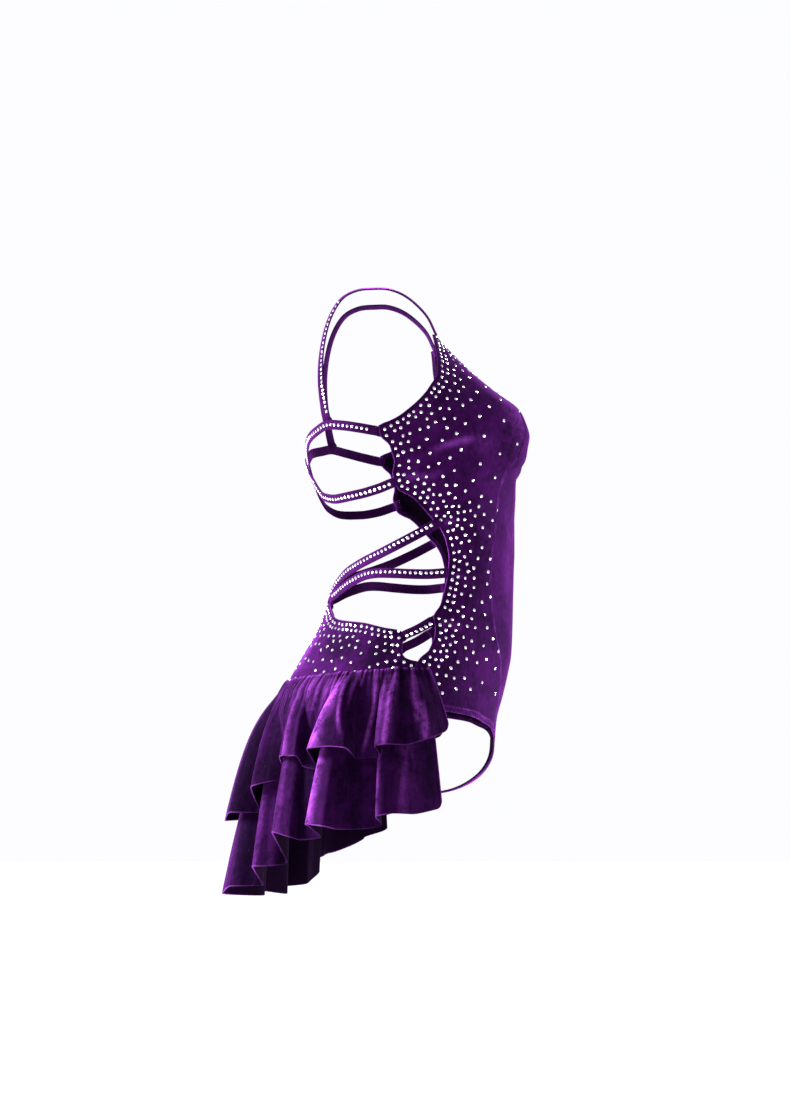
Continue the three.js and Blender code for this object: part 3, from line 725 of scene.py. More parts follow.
def front_side_grid():
    """Level rows from the princess seam to the open side, then rows that bend to the leg opening."""
    part = fine_ends(count=64, rim=0.006)
    heights = np.linspace(SIDE_PANEL_TOP, LEG_START, 150)[:, None]
    lap = np.where(heights < NECKLINE_END, SEAM_LAP, 0)
    upper = figure(mix(princess_angle(heights) - lap, side_angle(heights), part), heights)
    corner = LEG_EDGE["height"][0]
    down = np.linspace(0, 1, 22)[1:, None]
    front = princess_angle(mix(LEG_START, corner, down)) - SEAM_LAP
    angle = mix(front, SIDE_SEAM_ANGLE, part)
    hem = leg_height(mix(LEG_CORNER_ANGLE, SIDE_SEAM_ANGLE, part))
    lower = figure(angle, mix(LEG_START, hem, down))
    return with_fine_rows(np.concatenate([upper, lower]))


def ruffle_seam_height(angle):
    """It sinks slowly from the sides to the centre back."""
    from_side = np.clip((90 - np.abs(angle - 180)) / 90, 0, 1)
    return mix(RUFFLE_SEAM_SIDE, RUFFLE_SEAM_BACK, from_side**0.8)


def back_yoke_grid():
    """Rows from the upper edge down to the ruffles' seam, closer where the front edge bends forward."""
    side = 2 * fine_ends(count=150, rim=0.003) - 1
    seam_end = SIDE_SEAM_ANGLE - SEAM_LAP
    top = 180 - (180 - YOKE_FRONT_ANGLE) * np.abs(side)
    seam = 180 - (180 - seam_end) * np.abs(side)
    stretches = (np.linspace(0, 0.66, 26), np.linspace(0.68, 0.83, 16), np.linspace(0.86, 1, 6))
    down = np.concatenate(stretches)[:, None]
    front = yoke_front_angle(mix(yoke_height(YOKE_FRONT_ANGLE), RUFFLE_SEAM_SIDE, down))
    angle = mix(top, seam, (YOKE_FRONT_ANGLE - front) / (YOKE_FRONT_ANGLE - front.min()))
    height = mix(yoke_height(top), ruffle_seam_height(seam), down)
    return with_fine_rows(figure(np.where(side < 0, angle, 360 - angle), height))


def seat_grid():
    """Rows from side seam to side seam, then from leg to leg, down to the crotch."""
    part = fine_ends(count=110, rim=0.004)
    side = 2 * part - 1
    angle = 180 + side * (180 - SIDE_SEAM_ANGLE + SEAM_LAP)
    rows = [figure(angle, ruffle_seam_height(angle))]
    for i in range(len(SEAT["tuck"])):
        angle = 180 + side * (180 - SEAT["edge_angle"][i] + SEAM_LAP)
        height = mix(SEAT["centre_height"][i], SEAT["edge_height"][i], side**2)
        rows.append(figure(angle, height) - figure_normal(angle, height) * SEAT["tuck"][i])
    rows += [gusset_row(SEAT_GUSSET, i, part) for i in range(len(SEAT_GUSSET["turn"]))]
    return with_fine_rows(loft(rows, count=90))


def leg_band(distance, place):
    """The elastic turned in at a leg opening: a raised band with small puckers across it."""
    band = 1 / (1 + np.exp((distance - LEG_ELASTIC) / 0.5))
    pucker = 0.22 * np.sin(place * 1.7) * np.sin(place * 0.53 + 1) + 0.12 * np.sin(place * 3.1)
    fade = bump(np.maximum(distance - LEG_ELASTIC, 0), 3)
    return band * 0.6 + pucker * fade - 0.3 * bump(distance - LEG_ELASTIC - 0.4, 0.8)


def seam_relief(distance, place):
    """The fine valley of a sewn seam, the pile that stands up beside it, and slight puckers along it."""
    valley = 0.3 * bump(distance - 1.3, 0.7) - 0.3 * bump(distance, 0.7)
    return valley + 0.16 * np.sin(place * 0.62) * bump(distance, 6)


# Soft folds, and painted highlights and painted shade, of the body panels. A row is the angle and
# height where it starts, those where it ends, its bow, its width, and its height in millimetres, or
# for the painted light how bright it is (painted shade below 0).
SIDE_PAINTED_LIGHT = (
    (76, -212, 53, -194, 2, 4, 0.6),
    (60, -204, 44, -204, 2, 12, 0.12),
    (90, -243, 72, -236, -3, 5, 0.25),
    (84, -150, 70, -180, 3, 14, 0.12),
    (30, -95, 34, -195, 0, 15, 0.5),
    (60, -130, 40, -160, 4, 14, -0.2),
    (78, -330, 60, -338, 2, 9, 0.15),
    (80, -300, 66, -296, 3, 5, 0.3),
    (79, -362, 62, -366, 3, 5, 0.3),
    (79, -420, 62, -428, 3, 5, 0.3),
    (76, -470, 60, -500, 2, 22, -0.35),
    (62, -250, 58, -420, 0, 26, -0.3),
    (66, -500, 40, -512, 0, 18, -0.25),
)
CENTRE_PAINTED_LIGHT = (
    (20, -120, 26, -220, 2, 12, 0.35), (-20, -120, -26, -220, 2, 12, 0.35),
    (24, -250, 24, -420, 0, 14, 0.1), (-24, -250, -24, -420, 0, 14, 0.1),
    (6, -150, 6, -230, 0, 9, 0.2), (-6, -150, -6, -230, 0, 9, 0.2),
)
YOKE_PAINTED_LIGHT = (
    (112, -458, 148, -440, 4, 20, -0.6), (248, -458, 212, -440, 4, 20, -0.6),
    (166, -400, 164, -488, 0, 22, 0.3), (194, -400, 196, -488, 0, 22, 0.2),
    (99, -436, 106, -484, 0, 20, -0.5), (261, -436, 254, -484, 0, 20, -0.5),
)
ARMHOLE_END = -168
UNDER_BUST = -215


def rim_highlight_and_shade(distance, height=None):
    """Painted light by a turned edge: a thin painted highlight along the rim, and a band of painted
    shade inside it. Over the armhole the edge turns away, and has the painted shade only."""
    light = 0.8 if height is None else 0.8 / (1 + np.exp((height - ARMHOLE_END) / 4))
    return light * bump(distance, 0.9) - 0.35 * bump(distance - 2.6, 2.2)


def band_highlight_and_stitches(distance, place):
    """The stretched band over the leg elastic: a painted highlight on its puckers and along its edge,
    and a zigzag line of stitches.
    """
    zigzag = LEG_ELASTIC - 2.0 + 1.5 * np.abs((place / 2.6) % 2 - 1)
    band = 1 / (1 + np.exp((distance - LEG_ELASTIC) / 0.5))
    pucker = 0.5 + 0.5 * np.sin(place * 1.7) * np.sin(place * 0.53 + 1)
    return 0.22 * band * pucker + 0.5 * bump(distance - zigzag, 0.5) + 0.35 * bump(distance, 0.8)


def seam_highlight(distance, place, height):
    """A fine broken line of painted highlight beside a seam, where the pile stands up, below the bust."""
    below = 1 / (1 + np.exp((height - UNDER_BUST) / 6))
    return below * (0.3 + 0.2 * np.sin(place * 0.21)) * bump(distance - 1.2, 0.7)


def mirrored(points):
    return points * [-1, 1, 1]


SIDE_FOLDS = (
    (82, -215, 53, -194, 2, 5, 1.3),
    (90, -222, 72, -216, 2, 4, 0.6),
    (90.5, -240, 70, -232, -3, 4, 0.7),
    (82, -300, 68, -292, 3, 4, 0.6),
    (80, -306, 66, -316, -3, 5, 0.6),
    (78.5, -357, 62, -364, 3, 4.5, 0.6),
    (79, -350, 66, -342, 3, 5, 0.5),
    (80.5, -414, 62, -424, 3, 4.5, 0.7),
    (78, -436, 58, -452, -3, 6, 0.6),
    (44, -392, 26, -470, 0, 9, 0.9),
    (30, -105, 48, -150, 4, 8, 0.6),
)


def side_panel(name, flip):
    grid = front_side_grid()
    heights = grid[:, -1, 2]
    open_side = grid[heights > OPEN_SIDE_END, -1]
    neckline = grid[grid[:, 0, 2] >= NECKLINE_END, 0]
    princess = grid[grid[:, 0, 2] <= NECKLINE_END, 0]
    to_side, _ = nearest(grid, open_side)
    to_neck, _ = nearest(grid, neckline)
    to_leg, leg_place = nearest(grid, grid[-1])
    to_seam, seam_place = nearest(grid, princess)
    relief = np.maximum(turned_edge(to_side), turned_edge(to_neck)) + leg_band(to_leg, leg_place)
    relief += seam_relief(to_seam, seam_place) + soft_folds(grid, SIDE_FOLDS)
    turned = np.minimum.reduce([to_side, to_neck, to_leg])
    painted_light = rim_highlight_and_shade(np.minimum(to_side, to_neck), grid[..., 2]) + band_highlight_and_stitches(to_leg, leg_place)
    painted_light += seam_highlight(to_seam, seam_place, grid[..., 2]) + soft_folds(grid, SIDE_PAINTED_LIGHT)
    if flip:
        grid = mirrored(grid)
    piece, outer = make_cloth(name, grid, VELVET, relief, body_velvet, turned, painted_light)
    return outer


def centre_panel():
    grid = front_centre_grid()
    to_neck, _ = nearest(grid, grid[0])
    corner = LEG_EDGE["height"][0]
    relief = turned_edge(to_neck)
    turned = to_neck
    painted_light = rim_highlight_and_shade(to_neck) + soft_folds(grid, CENTRE_PAINTED_LIGHT)
    for column in (0, -1):
        edge = grid[:, column]
        first = np.argmax(edge[:, 2] < corner)
        to_seam, seam_place = nearest(grid, edge[:first])
        to_leg, leg_place = nearest(grid, edge[first - 1:])
        relief += seam_relief(to_seam, seam_place) + leg_band(to_leg, leg_place)
        painted_light += band_highlight_and_stitches(to_leg, leg_place) + seam_highlight(to_seam, seam_place, grid[..., 2])
        turned = np.minimum(turned, to_leg)
    name = "front_centre_panel"
    piece, outer = make_cloth(name, grid, VELVET, relief, body_velvet, turned, painted_light)
    return outer


def yoke():
    grid = back_yoke_grid()
    turned = np.minimum.reduce([nearest(grid, edge)[0] for edge in (grid[0], grid[:, 0], grid[:, -1])])
    to_seam, seam_place = nearest(grid, grid[-1])
    relief = turned_edge(turned) + 0.2 * np.sin(seam_place * 0.9) * bump(to_seam, 5)
    painted_light = rim_highlight_and_shade(turned) + soft_folds(grid, YOKE_PAINTED_LIGHT)
    piece, outer = make_cloth("back_yoke", grid, VELVET, relief, body_velvet, turned, painted_light)
    return outer


def seat():
    grid = seat_grid()
    relief = np.zeros(grid.shape[:2])
    turned = np.full(grid.shape[:2], np.inf)
    painted_light = np.zeros(grid.shape[:2])
    for column in (0, -1):
        to_leg, leg_place = nearest(grid, grid[SEAT_LEG_ROW:, column])
        relief += leg_band(to_leg, leg_place)
        painted_light += band_highlight_and_stitches(to_leg, leg_place)
        turned = np.minimum(turned, to_leg)
    piece, _ = make_cloth("seat_panel", grid, VELVET, relief, body_velvet, turned, painted_light)


# ---- straps ----

def strap_points(centres, outwards):
    """The strap's section, a flattened superellipse, carried along its centre line."""
    along = unit(np.gradient(centres, axis=0))
    across = unit(np.cross(along, outwards))
    upward = np.cross(across, along)
    turn = np.linspace(0, 2 * np.pi, STRAP_SIDES + 1)[:-1]
    wide = STRAP_WIDTH / 2 * np.sign(np.cos(turn)) * np.abs(np.cos(turn)) ** 0.35
    high = STRAP_THICKNESS / 2 * (1 + np.sign(np.sin(turn)) * np.abs(np.sin(turn)) ** 0.8)
    surface = centres[:, None] + wide[:, None] * across[:, None] + high[:, None] * upward[:, None]
    return surface, across, upward


def tucked(centres, outwards):
    """The centre line with both ends carried on, and in, under the edges they are sewn to."""
    steps = np.linspace(0, 1, 7)[1:, None]
    sunk = TUCK_DEPTH * np.sqrt(np.minimum(steps * 3, 1))

    def beyond(end, inner, outward):
        return end + unit(end - inner) * TUCK * steps - outward * sunk

    before = beyond(centres[0], centres[2], outwards[0])[::-1]
    after = beyond(centres[-1], centres[-3], outwards[-1])
    longer = np.vstack([before, centres, after])
    return longer, np.pad(outwards, ((len(before), len(after)), (0, 0)), mode="edge")


def make_strap(name, centres, outwards, stones, flip):
    """A strap, and one row of stones on its outer face. stones says how far from the strap's two
    ends the row starts and stops, and its offset across."""
    start, end, offset = stones
    if flip:
        centres, outwards, offset = mirrored(centres), mirrored(outwards), -offset
    long_centres, long_outwards = tucked(centres, outwards)
    surface, _, _ = strap_points(long_centres, long_outwards)
    along = lengths_along(long_centres)
    round_it = np.linspace(0, STRAP_GIRTH, STRAP_SIDES)
    uv = np.stack(np.broadcast_arrays(round_it, along[:, None]), -1).reshape(-1, 2)
    points = surface.reshape(-1, 3)
    piece = make_piece(name, points, tube_faces(surface), [strap_velvet], uv=uv)
    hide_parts(name)

    _, across, upward = strap_points(centres, outwards)
    along = lengths_along(centres)
    at = np.arange(start, along[-1] - end, STONE_PITCH)

    def each(field):
        return np.stack([np.interp(at, along, field[:, k]) for k in range(3)], -1)

    places = each(centres) + each(across) * offset + each(upward) * (STRAP_THICKNESS - 0.05)
    make_stones(name + "_stones", places, each(upward), 0.2)


def band_line(rows, rise):
    """A strap's centre line on the figure, lifted by rise, and its outward directions."""
    height = through(rows, "angle", "height")
    angle = np.linspace(rows["angle"][0], rows["angle"][-1], 120)
    normal = figure_normal(angle, height(angle))
    line = figure(angle, height(angle)) + normal * (STRAP_LIFT + rise(angle))[:, None]
    return line, normal


def shoulder_strap(name, flip):
    """It faces away from a line that runs down inside the shoulder from its top point."""
    line = path_through(SHOULDER_STRAP, 3)
    inside = np.stack([np.full(len(line), -42.0), np.full(len(line), 8.0), np.minimum(-60, line[:, 2])], -1)
    make_strap(name, line, unit(line - inside), (150, 4, -3.2), flip)


def waist_strap(name, points, stones, flip):
    """It faces away from a line up the middle of the waist."""
    line = path_through(points, 3)
    middle = np.stack([np.zeros(len(line)), np.full(len(line), -40.0), line[:, 2]], -1)
    make_strap(name, line, unit(line - middle), stones, flip)


# ---- rhinestones ----

def make_stones(name, places, normals, tilt):
    """Flat-backed cut stones: a round girdle of eight corners, eight crown facets between it and a
    smaller table turned by half a corner, and a flat back. All in one mesh."""
    random = np.random.default_rng(len(places) + sum(map(ord, name)))
    count = len(places)
    step = 2 * np.pi / STONE_CORNERS
    k = np.arange(STONE_CORNERS)
    girdle, table_edge = k * step, (k + 0.5) * step
    levels = ((girdle, 1.0, 0.0), (girdle, 1.0, 0.1), (table_edge, 0.58, 0.42))  # turn, width, height
    local = np.vstack([
        np.stack([wide * np.cos(turn), wide * np.sin(turn), np.full(STONE_CORNERS, high)], -1)
        for turn, wide, high in levels
    ])
    radius = STONE / 2 * random.uniform(*STONE_SIZES, count)
    upward = unit(normals + random.normal(0, tilt / 3, (count, 3)))
    sideways = unit(np.cross(upward, [0.3, 0.2, 0.93]))
    other = np.cross(upward, sideways)
    spin = random.uniform(0, step, count)[:, None]
    first = sideways * np.cos(spin) + other * np.sin(spin)
    second = np.cross(upward, first)
    axes = np.stack([first, second, upward], 1)
    points = places[:, None] + np.einsum("vk,nkc->nvc", local, axes) * radius[:, None, None]
    n = (k + 1) % STONE_CORNERS
    low, middle, top = 0, STONE_CORNERS, 2 * STONE_CORNERS
    quads = np.stack([low + k, low + n, middle + n, middle + k], -1)
    lower = np.stack([middle + k, middle + n, top + k], -1)
    upper = np.stack([middle + n, top + n, top + k], -1)
    ends = [(top + k).tolist(), k[::-1].tolist()]
    pattern = quads.tolist() + lower.tolist() + upper.tolist() + ends
    size = len(local)
    faces = [[size * stone + v for v in face] for stone in range(count) for face in pattern]
    make_piece(name, points.reshape(-1, 3), faces, [stone_glass], smooth=False)


def sample(outer, fields, count, random):
    """Random places on a grid, evenly spread over its area, with each field's value there."""
    across = outer[:-1, 1:] - outer[:-1, :-1]
    down = outer[1:, :-1] - outer[:-1, :-1]
    area = np.linalg.norm(np.cross(across, down), axis=-1).ravel()
    cell = random.choice(len(area), count, p=area / area.sum())
    row, column = np.divmod(cell, outer.shape[1] - 1)
    v, u = random.uniform(0, 1, (2, count))

    def value(field):
        wide = (...,) + (None,) * (field.ndim - 2)
        top = mix(field[row, column], field[row, column + 1], u[wide])
        low = mix(field[row + 1, column], field[row + 1, column + 1], u[wide])
        return mix(top, low, v[wide])

    return [value(field) for field in (outer, *fields)]


def stone_rows(distance, along, insets, pitch):
    """Rows of stones beside an edge, one at each inset, a pitch apart along the edge."""
    chosen = []
    for number, inset in enumerate(insets):
        near = np.flatnonzero(np.abs(distance - inset) < 0.5)
        near = near[np.argsort(along[near])]
        last = -np.inf
        start = number * pitch / 2
        for i in near:
            if along[i] >= start and along[i] - last >= pitch:
                chosen.append(i)
                last = along[i]
    return chosen


def stone_scatter(places, spacing, chosen, allowed):
    """Stones thrown one by one. Each is kept if none lies nearer than the spacing at its place."""
    kept = list(chosen)
    for i in np.flatnonzero(allowed):
        gap = np.linalg.norm(places[kept] - places[i], axis=1) if kept else np.array([np.inf])
        if gap.min() > spacing[i]:
            kept.append(i)
    return np.array(kept)


STONE_THROWS = 26000
ROW_SPACING = 5.2  # the least between two stones of the rows
SPACING = table("edge spacing", [12, 7.6], [24, 9], [40, 12], [65, 17], [95, 23], [130, 32], [180, 45])
spacing_at = through(SPACING, "edge", "spacing")


def panel_stones(name, outer, edges, insets, pitch, crowd, limit, seed):
    """Stones on a panel: rows beside its open edges, at insets from them, and scattered ones that
    thin out. crowd is a part of the usual spacing at each place, and limit the farthest from an edge."""
    random = np.random.default_rng(seed)
    normal = outward(outer)
    fields = [normal]
    for edge in edges:
        distance, along = nearest(outer, edge)
        fields += [distance, along]
    values = sample(outer, fields, STONE_THROWS, random)
    places, normals = values[0], unit(values[1])
    distances, alongs = values[2::2], values[3::2]
    chosen = []
    for distance, along in zip(distances, alongs):
        chosen += stone_rows(distance, along, insets, pitch)
    away = np.minimum.reduce(distances)
    spacing = spacing_at(away) * crowd(places)
    in_row = np.isin(np.arange(STONE_THROWS), chosen)
    rows = stone_scatter(places, np.full(STONE_THROWS, ROW_SPACING), [], in_row)
    kept = stone_scatter(places, spacing, rows, (away > insets[-1] + 3) & (away < limit(places)))
    make_stones(name, places[kept] + normals[kept] * 0.1, normals[kept], 0.25)


# ---- ruffles ----

GATHERS = 150
# painted highlight on each gather's ridge and painted shade between the gathers
GATHER_PAINTED_LIGHT = 0.2
SEAM_PUFF_HIGHLIGHT = 0.3  # painted highlight on the seam's edge over a gather, for each millimetre of the gather
SEAM_PUFF = 0.7  # rise of the seam's edge over a gather, as a part of the gather's height
CORNER_RADIUS = 7
HEM_RADIUS = 0.75
CREST_NAMES = "top hem start end width height"
UPPER_CRESTS = table(  # soft ridges: angles at their two ends, parts of the drop, width and height
    CREST_NAMES,
    [80.5, 79, 0.1, 0.5, 5, 1.6], [84, 82, 0.45, 1.1, 6, 2], [89, 90.5, 0.02, 0.5, 4, 1.6],
    [94, 94.5, 0.05, 1.5, 5.5, 2], [98.3, 103, 0.02, 1.0, 4, 3.4], [104, 106.5, 0.0, 0.4, 3.5, 1.8],
    [113.5, 110, 0.05, 0.8, 4.5, 4], [117, 116, 0.3, 1.5, 8, 1.2], [121, 124, 0.0, 0.55, 3.5, 2],
    [128, 129, 0.0, 0.6, 4, 2.2], [134, 135, 0.0, 0.5, 4, 1.8], [141, 141, 0.05, 1.5, 6, 3.6],
    [150, 151, 0.05, 0.6, 4, 1.8], [161, 161.5, 0.05, 1.5, 6, 1], [171, 168, 0.0, 0.7, 5, 2],
    [182, 182, 0.1, 1.5, 8, 0.8], [199, 199, 0.05, 1.5, 7, 3], [206, 209, 0.0, 0.6, 4, 2],
    [218, 218, 0.05, 1.5, 6, 3.4], [224, 227, 0.0, 0.6, 4, 2.2], [234, 232, 0.0, 0.5, 4, 1.8],
    [244, 245, 0.1, 1.5, 6, 3.6], [252, 255, 0.02, 0.9, 4, 3], [261, 259, 0.0, 0.5, 4, 2],
    [268, 268, 0.05, 1.5, 5.5, 3.4], [276, 278, 0.05, 0.7, 5, 1.8],
)
LOWER_CRESTS = table(
    CREST_NAMES,
    [83, 82, 0.4, 1.5, 9, 1.6], [93.5, 94, 0.3, 1.5, 6, 3.4], [104, 105, 0.4, 1.2, 9, 1.6],
    [112, 111, 0.4, 1.4, 8, 2], [117, 116, 0.35, 1.5, 8, 2], [130, 129, 0.4, 1.3, 8, 2],
    [141, 142, 0.35, 1.5, 8, 2.5], [160, 161, 0.35, 1.5, 7, 1.5], [170, 172, 0.5, 1.2, 8, 2],
    [181, 182, 0.4, 1.5, 7, 0.8], [199, 200, 0.4, 1.5, 8, 3.4], [218, 219, 0.4, 1.5, 8, 3.4],
    [232, 230, 0.5, 1.2, 8, 2], [245, 246, 0.4, 1.5, 7, 4], [257, 256, 0.5, 1.2, 8, 1.8],
    [268, 269, 0.35, 1.5, 7, 3.4], [279, 280, 0.4, 1.4, 9, 1.6],
)


def running_mean(values, width):
    """The mean of each value's neighbours, width of them in all."""
    width = int(width)
    padded = np.pad(values, width, mode="edge")
    return np.convolve(padded, np.full(width, 1 / width), "same")[width:-width]


def spring_out(depth, drop, flare):
    """The part of its reach that a ruffle has at a depth below its seam."""
    started = (1 - np.exp(-depth / SEAM_EASE)) / (1 - np.exp(-drop / SEAM_EASE))
    return (depth / drop) ** flare * started


# Painted highlights (above 0) and painted shade (below 0) on the ruffles, laid out as the crests.
UPPER_PAINTED_LIGHT = table(
    CREST_NAMES,
    [82.5, 81.5, 0.0, 0.75, 5, 0.5], [80, 79.5, 0.45, 1.15, 5, 0.55], [76.5, 75.5, -0.2, 1.3, 8, -0.4],
    [87, 86, -0.2, 1.3, 7, -0.25], [91.5, 91.5, 0.0, 1.3, 3.5, 0.5], [94.3, 94.3, 0.05, 1.5, 4, 0.3],
    [98.3, 103, 0.02, 0.95, 2.4, 0.55], [113.3, 110.6, 0.02, 0.85, 2.8, 0.35],
    [118, 115.5, 0.05, 1.5, 13, 1.05], [109, 106, 0.3, 1.2, 6, -0.4], [128, 128, 0, 0.4, 3, 0.4],
    [134, 134, 0, 0.3, 3, 0.4], [130.5, 131, 0.4, 1.5, 11, -0.6], [141.5, 141, -0.1, 1.3, 6, 0.3],
    [149, 149, 0.2, 1.3, 8, -0.4], [122, 123, 0.25, 1.4, 4, -0.3],
    [164, 162, 0.02, 1.3, 3, 0.4], [157, 157, 0.3, 1.4, 10, -0.5], [176, 174, -0.2, 1.5, 26, -0.6],
    [199, 198, 0, 1.1, 5, 0.3], [204, 206, 0.3, 1.5, 8, 0.25], [217, 219, 0.1, 1.4, 6, 0.35],
    [230, 230, 0.3, 1.4, 9, -0.4], [243, 245, 0, 0.9, 6, 0.5], [248, 247, 0.4, 1.4, 6, 0.4],
    [252, 256, 0, 0.9, 3, 0.4], [266, 267, 0, 1.4, 5, 0.5], [280, 281, 0.1, 0.9, 6, 0.4],
)
LOWER_PAINTED_LIGHT = table(
    CREST_NAMES,
    [76, 76, -0.2, 1.4, 10, -0.4], [84.5, 84, 0.3, 1.5, 5, 0.2], [94, 94, 0.3, 1.5, 3.5, 0.5],
    [117, 116, 0.25, 1.5, 8, 0.6], [105, 105, 0.3, 1.5, 14, -0.3], [141, 141.5, 0.3, 1.5, 6, 0.1],
    [131, 131, 0.2, 1.6, 13, -0.8], [151, 151, 0.3, 1.6, 9, -0.7], [160.5, 161, 0.3, 1.5, 5, 0.1],
    [174, 173, 0.2, 1.5, 24, -0.6],
    [182.5, 183, 0.4, 1.3, 6, 0.8], [200, 200, 0.3, 1.1, 6, 0.3], [218, 219, 0.5, 1.5, 8, 0.4],
    [210, 211, 0.3, 1.3, 10, -0.25], [245, 246, 0.3, 1.5, 8, 0.4], [256, 256, 0.3, 1.3, 9, -0.3],
    [267, 268, 0.3, 1.5, 7, 0.4],
)


def crest_rise(points, angle, down, crests):
    """Soft ridges down a ruffle, or in the same shape bands of painted light and shade. Each runs from
    one angle to another between two parts of the drop, is bell-shaped across and swells and fades
    along as the square root of a sine."""
    across = lengths_across(points)
    level = np.arange(len(down))
    rise = np.zeros(across.shape)
    for top, hem, start, end, width, height in zip(*(crests[key] for key in CREST_NAMES.split())):
        part = (down[:, 0] - start) / (end - start)
        at = (mix(top, hem, np.clip(part, 0, 1)) - angle[0]) / (angle[1] - angle[0])
        column = at.astype(int)
        centre = mix(across[level, column], across[level, column + 1], at - column)
        swell = np.sqrt(np.maximum(np.sin(np.pi * np.clip(part, 0, 1)), 0))
        rise += height * swell[:, None] * bump(across - centre[:, None], width)
    return rise


def ruffle_grid(folds, crests, painted_light, seam_drop, flare, under, columns, rows, seed):
    """A ruffle hangs from its seam and springs out to its reach, or as far as the seat under it
    swells out, if that is more. Reach, drop and lean are smooth curves through the folds' rows, and
    the hem's two corners are quarter circles. Fine gathers run down from the seam: narrow ridges,
    each fading over its own length. Also gives the painted light and shade, and how far each column
    is a ridge."""
    random = np.random.default_rng(seed)
    angle = np.linspace(folds["angle"][0], folds["angle"][-1], columns)
    to_right = np.where(folds["angle"] > 180, -1, 1)  # so that lean is all one way round the dress
    folds = dict(folds, lean=folds["lean"] * to_right)
    reach, drop, lean = (through(folds, "angle", key)(angle) for key in ("reach", "drop", "lean"))
    height = ruffle_seam_height(angle) - seam_drop
    ridge = np.clip((reach - running_mean(reach, 14 / (angle[1] - angle[0]))) / 12, -1, 1)
    out = unit(figure_normal(angle, height) * [1, 1, 0])
    forward = np.stack([-out[:, 1], out[:, 0], np.zeros(columns)], -1)
    seam = figure(angle, height) + out * (VELVET + RUFFLE_LIFT)
    along = lengths_along(seam)
    along_hem = lengths_along(seam + reach[:, None] * out + lean[:, None] * forward)
    from_end = np.clip(np.minimum(along_hem, along_hem[-1] - along_hem) / CORNER_RADIUS, 0, 1)
    drop = drop - CORNER_RADIUS * (1 - np.sqrt(1 - (1 - from_end) ** 2))
    down = np.linspace(0, 1, rows)[:, None] ** 1.25
    depth = drop * down
    spread = 1 + depth / 45
    gather = np.zeros_like(depth)
    for crest in np.linspace(2, along[-1] - 2, GATHERS) + random.normal(0, 1.2, GATHERS):
        tall, wide = random.uniform(0.5, 2.2), random.uniform(1.2, 2.2)
        fade = 9 + 36 * random.uniform(0, 1) ** 2
        gather += tall * bump(along - crest, wide * spread) * np.exp(-depth / fade)
    gather_line = gather[0] - gather[0].min()
    gather *= 1 - np.exp(-depth / 2)
    below = figure(np.broadcast_to(angle, depth.shape), height - depth)
    swell = np.sum((below - figure(angle, height)) * out, -1)
    resting = swell + under * np.minimum(depth / RUFFLE_SPACING, 1)
    stand = np.maximum(reach * spring_out(depth, drop, flare), resting) + gather
    points = seam + (lean * down)[..., None] * forward + stand[..., None] * out
    points[..., 2] += SEAM_PUFF * gather_line * np.exp(-depth / 4) - depth
    points = points + outward(points) * crest_rise(points, angle, down, crests)[..., None]
    # Painted light and shade: the crests' bands, a highlight on each gather and shade between, and a
    # highlight on the seam's puffs.
    painted_brightness = crest_rise(points, angle, down, painted_light) + GATHER_PAINTED_LIGHT * (gather - gather.mean(1, keepdims=True))
    painted_brightness += SEAM_PUFF_HIGHLIGHT * gather_line * bump(depth, 2.2)
    return points, painted_brightness, ridge


def ruffle(name, folds, crests, painted_light, seam_drop, flare, under, columns, rows, seed):
    grid, painted_brightness, ridge = ruffle_grid(folds, crests, painted_light, seam_drop, flare, under, columns, rows, seed)
    grid = with_fine_rows(grid)
    painted_brightness = np.pad(painted_brightness, ((len(FINE_ROWS), len(FINE_ROWS)), (0, 0)), mode="edge")
    relief = np.zeros(grid.shape[:2])
    piece, _ = make_cloth(name, grid, RUFFLE_VELVET, relief, ruffle_velvet, painted_light=painted_brightness, radiating=True)
    border = np.vstack([grid[:, 0], grid[-1, 1:-1], grid[::-1, -1]])
    normal = outward(grid)
    lift = np.vstack([normal[:, 0], normal[-1, 1:-1], normal[::-1, -1]]) * RUFFLE_VELVET / 2
    # Painted light on the hem roll: a highlight where a fold's ridge reaches the hem, painted shade in the
    # troughs, a little light along the side edges.
    side = np.full(len(grid), 0.2)
    hem_painted_light = np.concatenate([side, mix(-0.1, 0.65, ridge[1:-1]), side])
    hem = rolled_hem(name + "_hem", border + lift, hem_painted_light)


def rolled_hem(name, border, painted_light):
    """The rolled hem round a ruffle's free edges: a thin roll with the slant ribs of its thread."""
    line = even_steps(border, 1.1)
    along = lengths_along(line)
    direction = unit(np.gradient(line, axis=0))
    side = unit(np.cross(direction, [0.2, 0.1, 1.0]))
    other = np.cross(direction, side)
    turn = np.linspace(0, 2 * np.pi, 9)[:-1]
    radius = HEM_RADIUS * (1 + 0.14 * np.sin(along[:, None] * 2.6 + turn))
    ring = side[:, None] * np.cos(turn)[:, None] + other[:, None] * np.sin(turn)[:, None]
    points = line[:, None] + ring * radius[..., None]
    piece = make_piece(name, points.reshape(-1, 3), tube_faces(points), [hem_thread])
    set_painted_light(piece, np.interp(along, lengths_along(border), painted_light).repeat(len(turn)))
    return piece


# ---- the dress ----

outer_centre = centre_panel()
outer_right = side_panel("front_side_panel_right", False)
outer_left = side_panel("front_side_panel_left", True)
outer_yoke = yoke()
seat()


def on_the_figure(angle):
    return np.zeros_like(angle)


def over_the_other_band(angle):
    """A flat-topped bell at the centre back."""
    return CROSSING_RISE * np.exp(-(((angle - 180) / CROSSING_SPREAD) ** 4))


def side_crowd(places):
    """The stones lie closer at the waist and at the hip."""
    return 1 - 0.3 * bump(places[:, 2] + 285, 25) - 0.2 * bump(places[:, 2] + 440, 30)


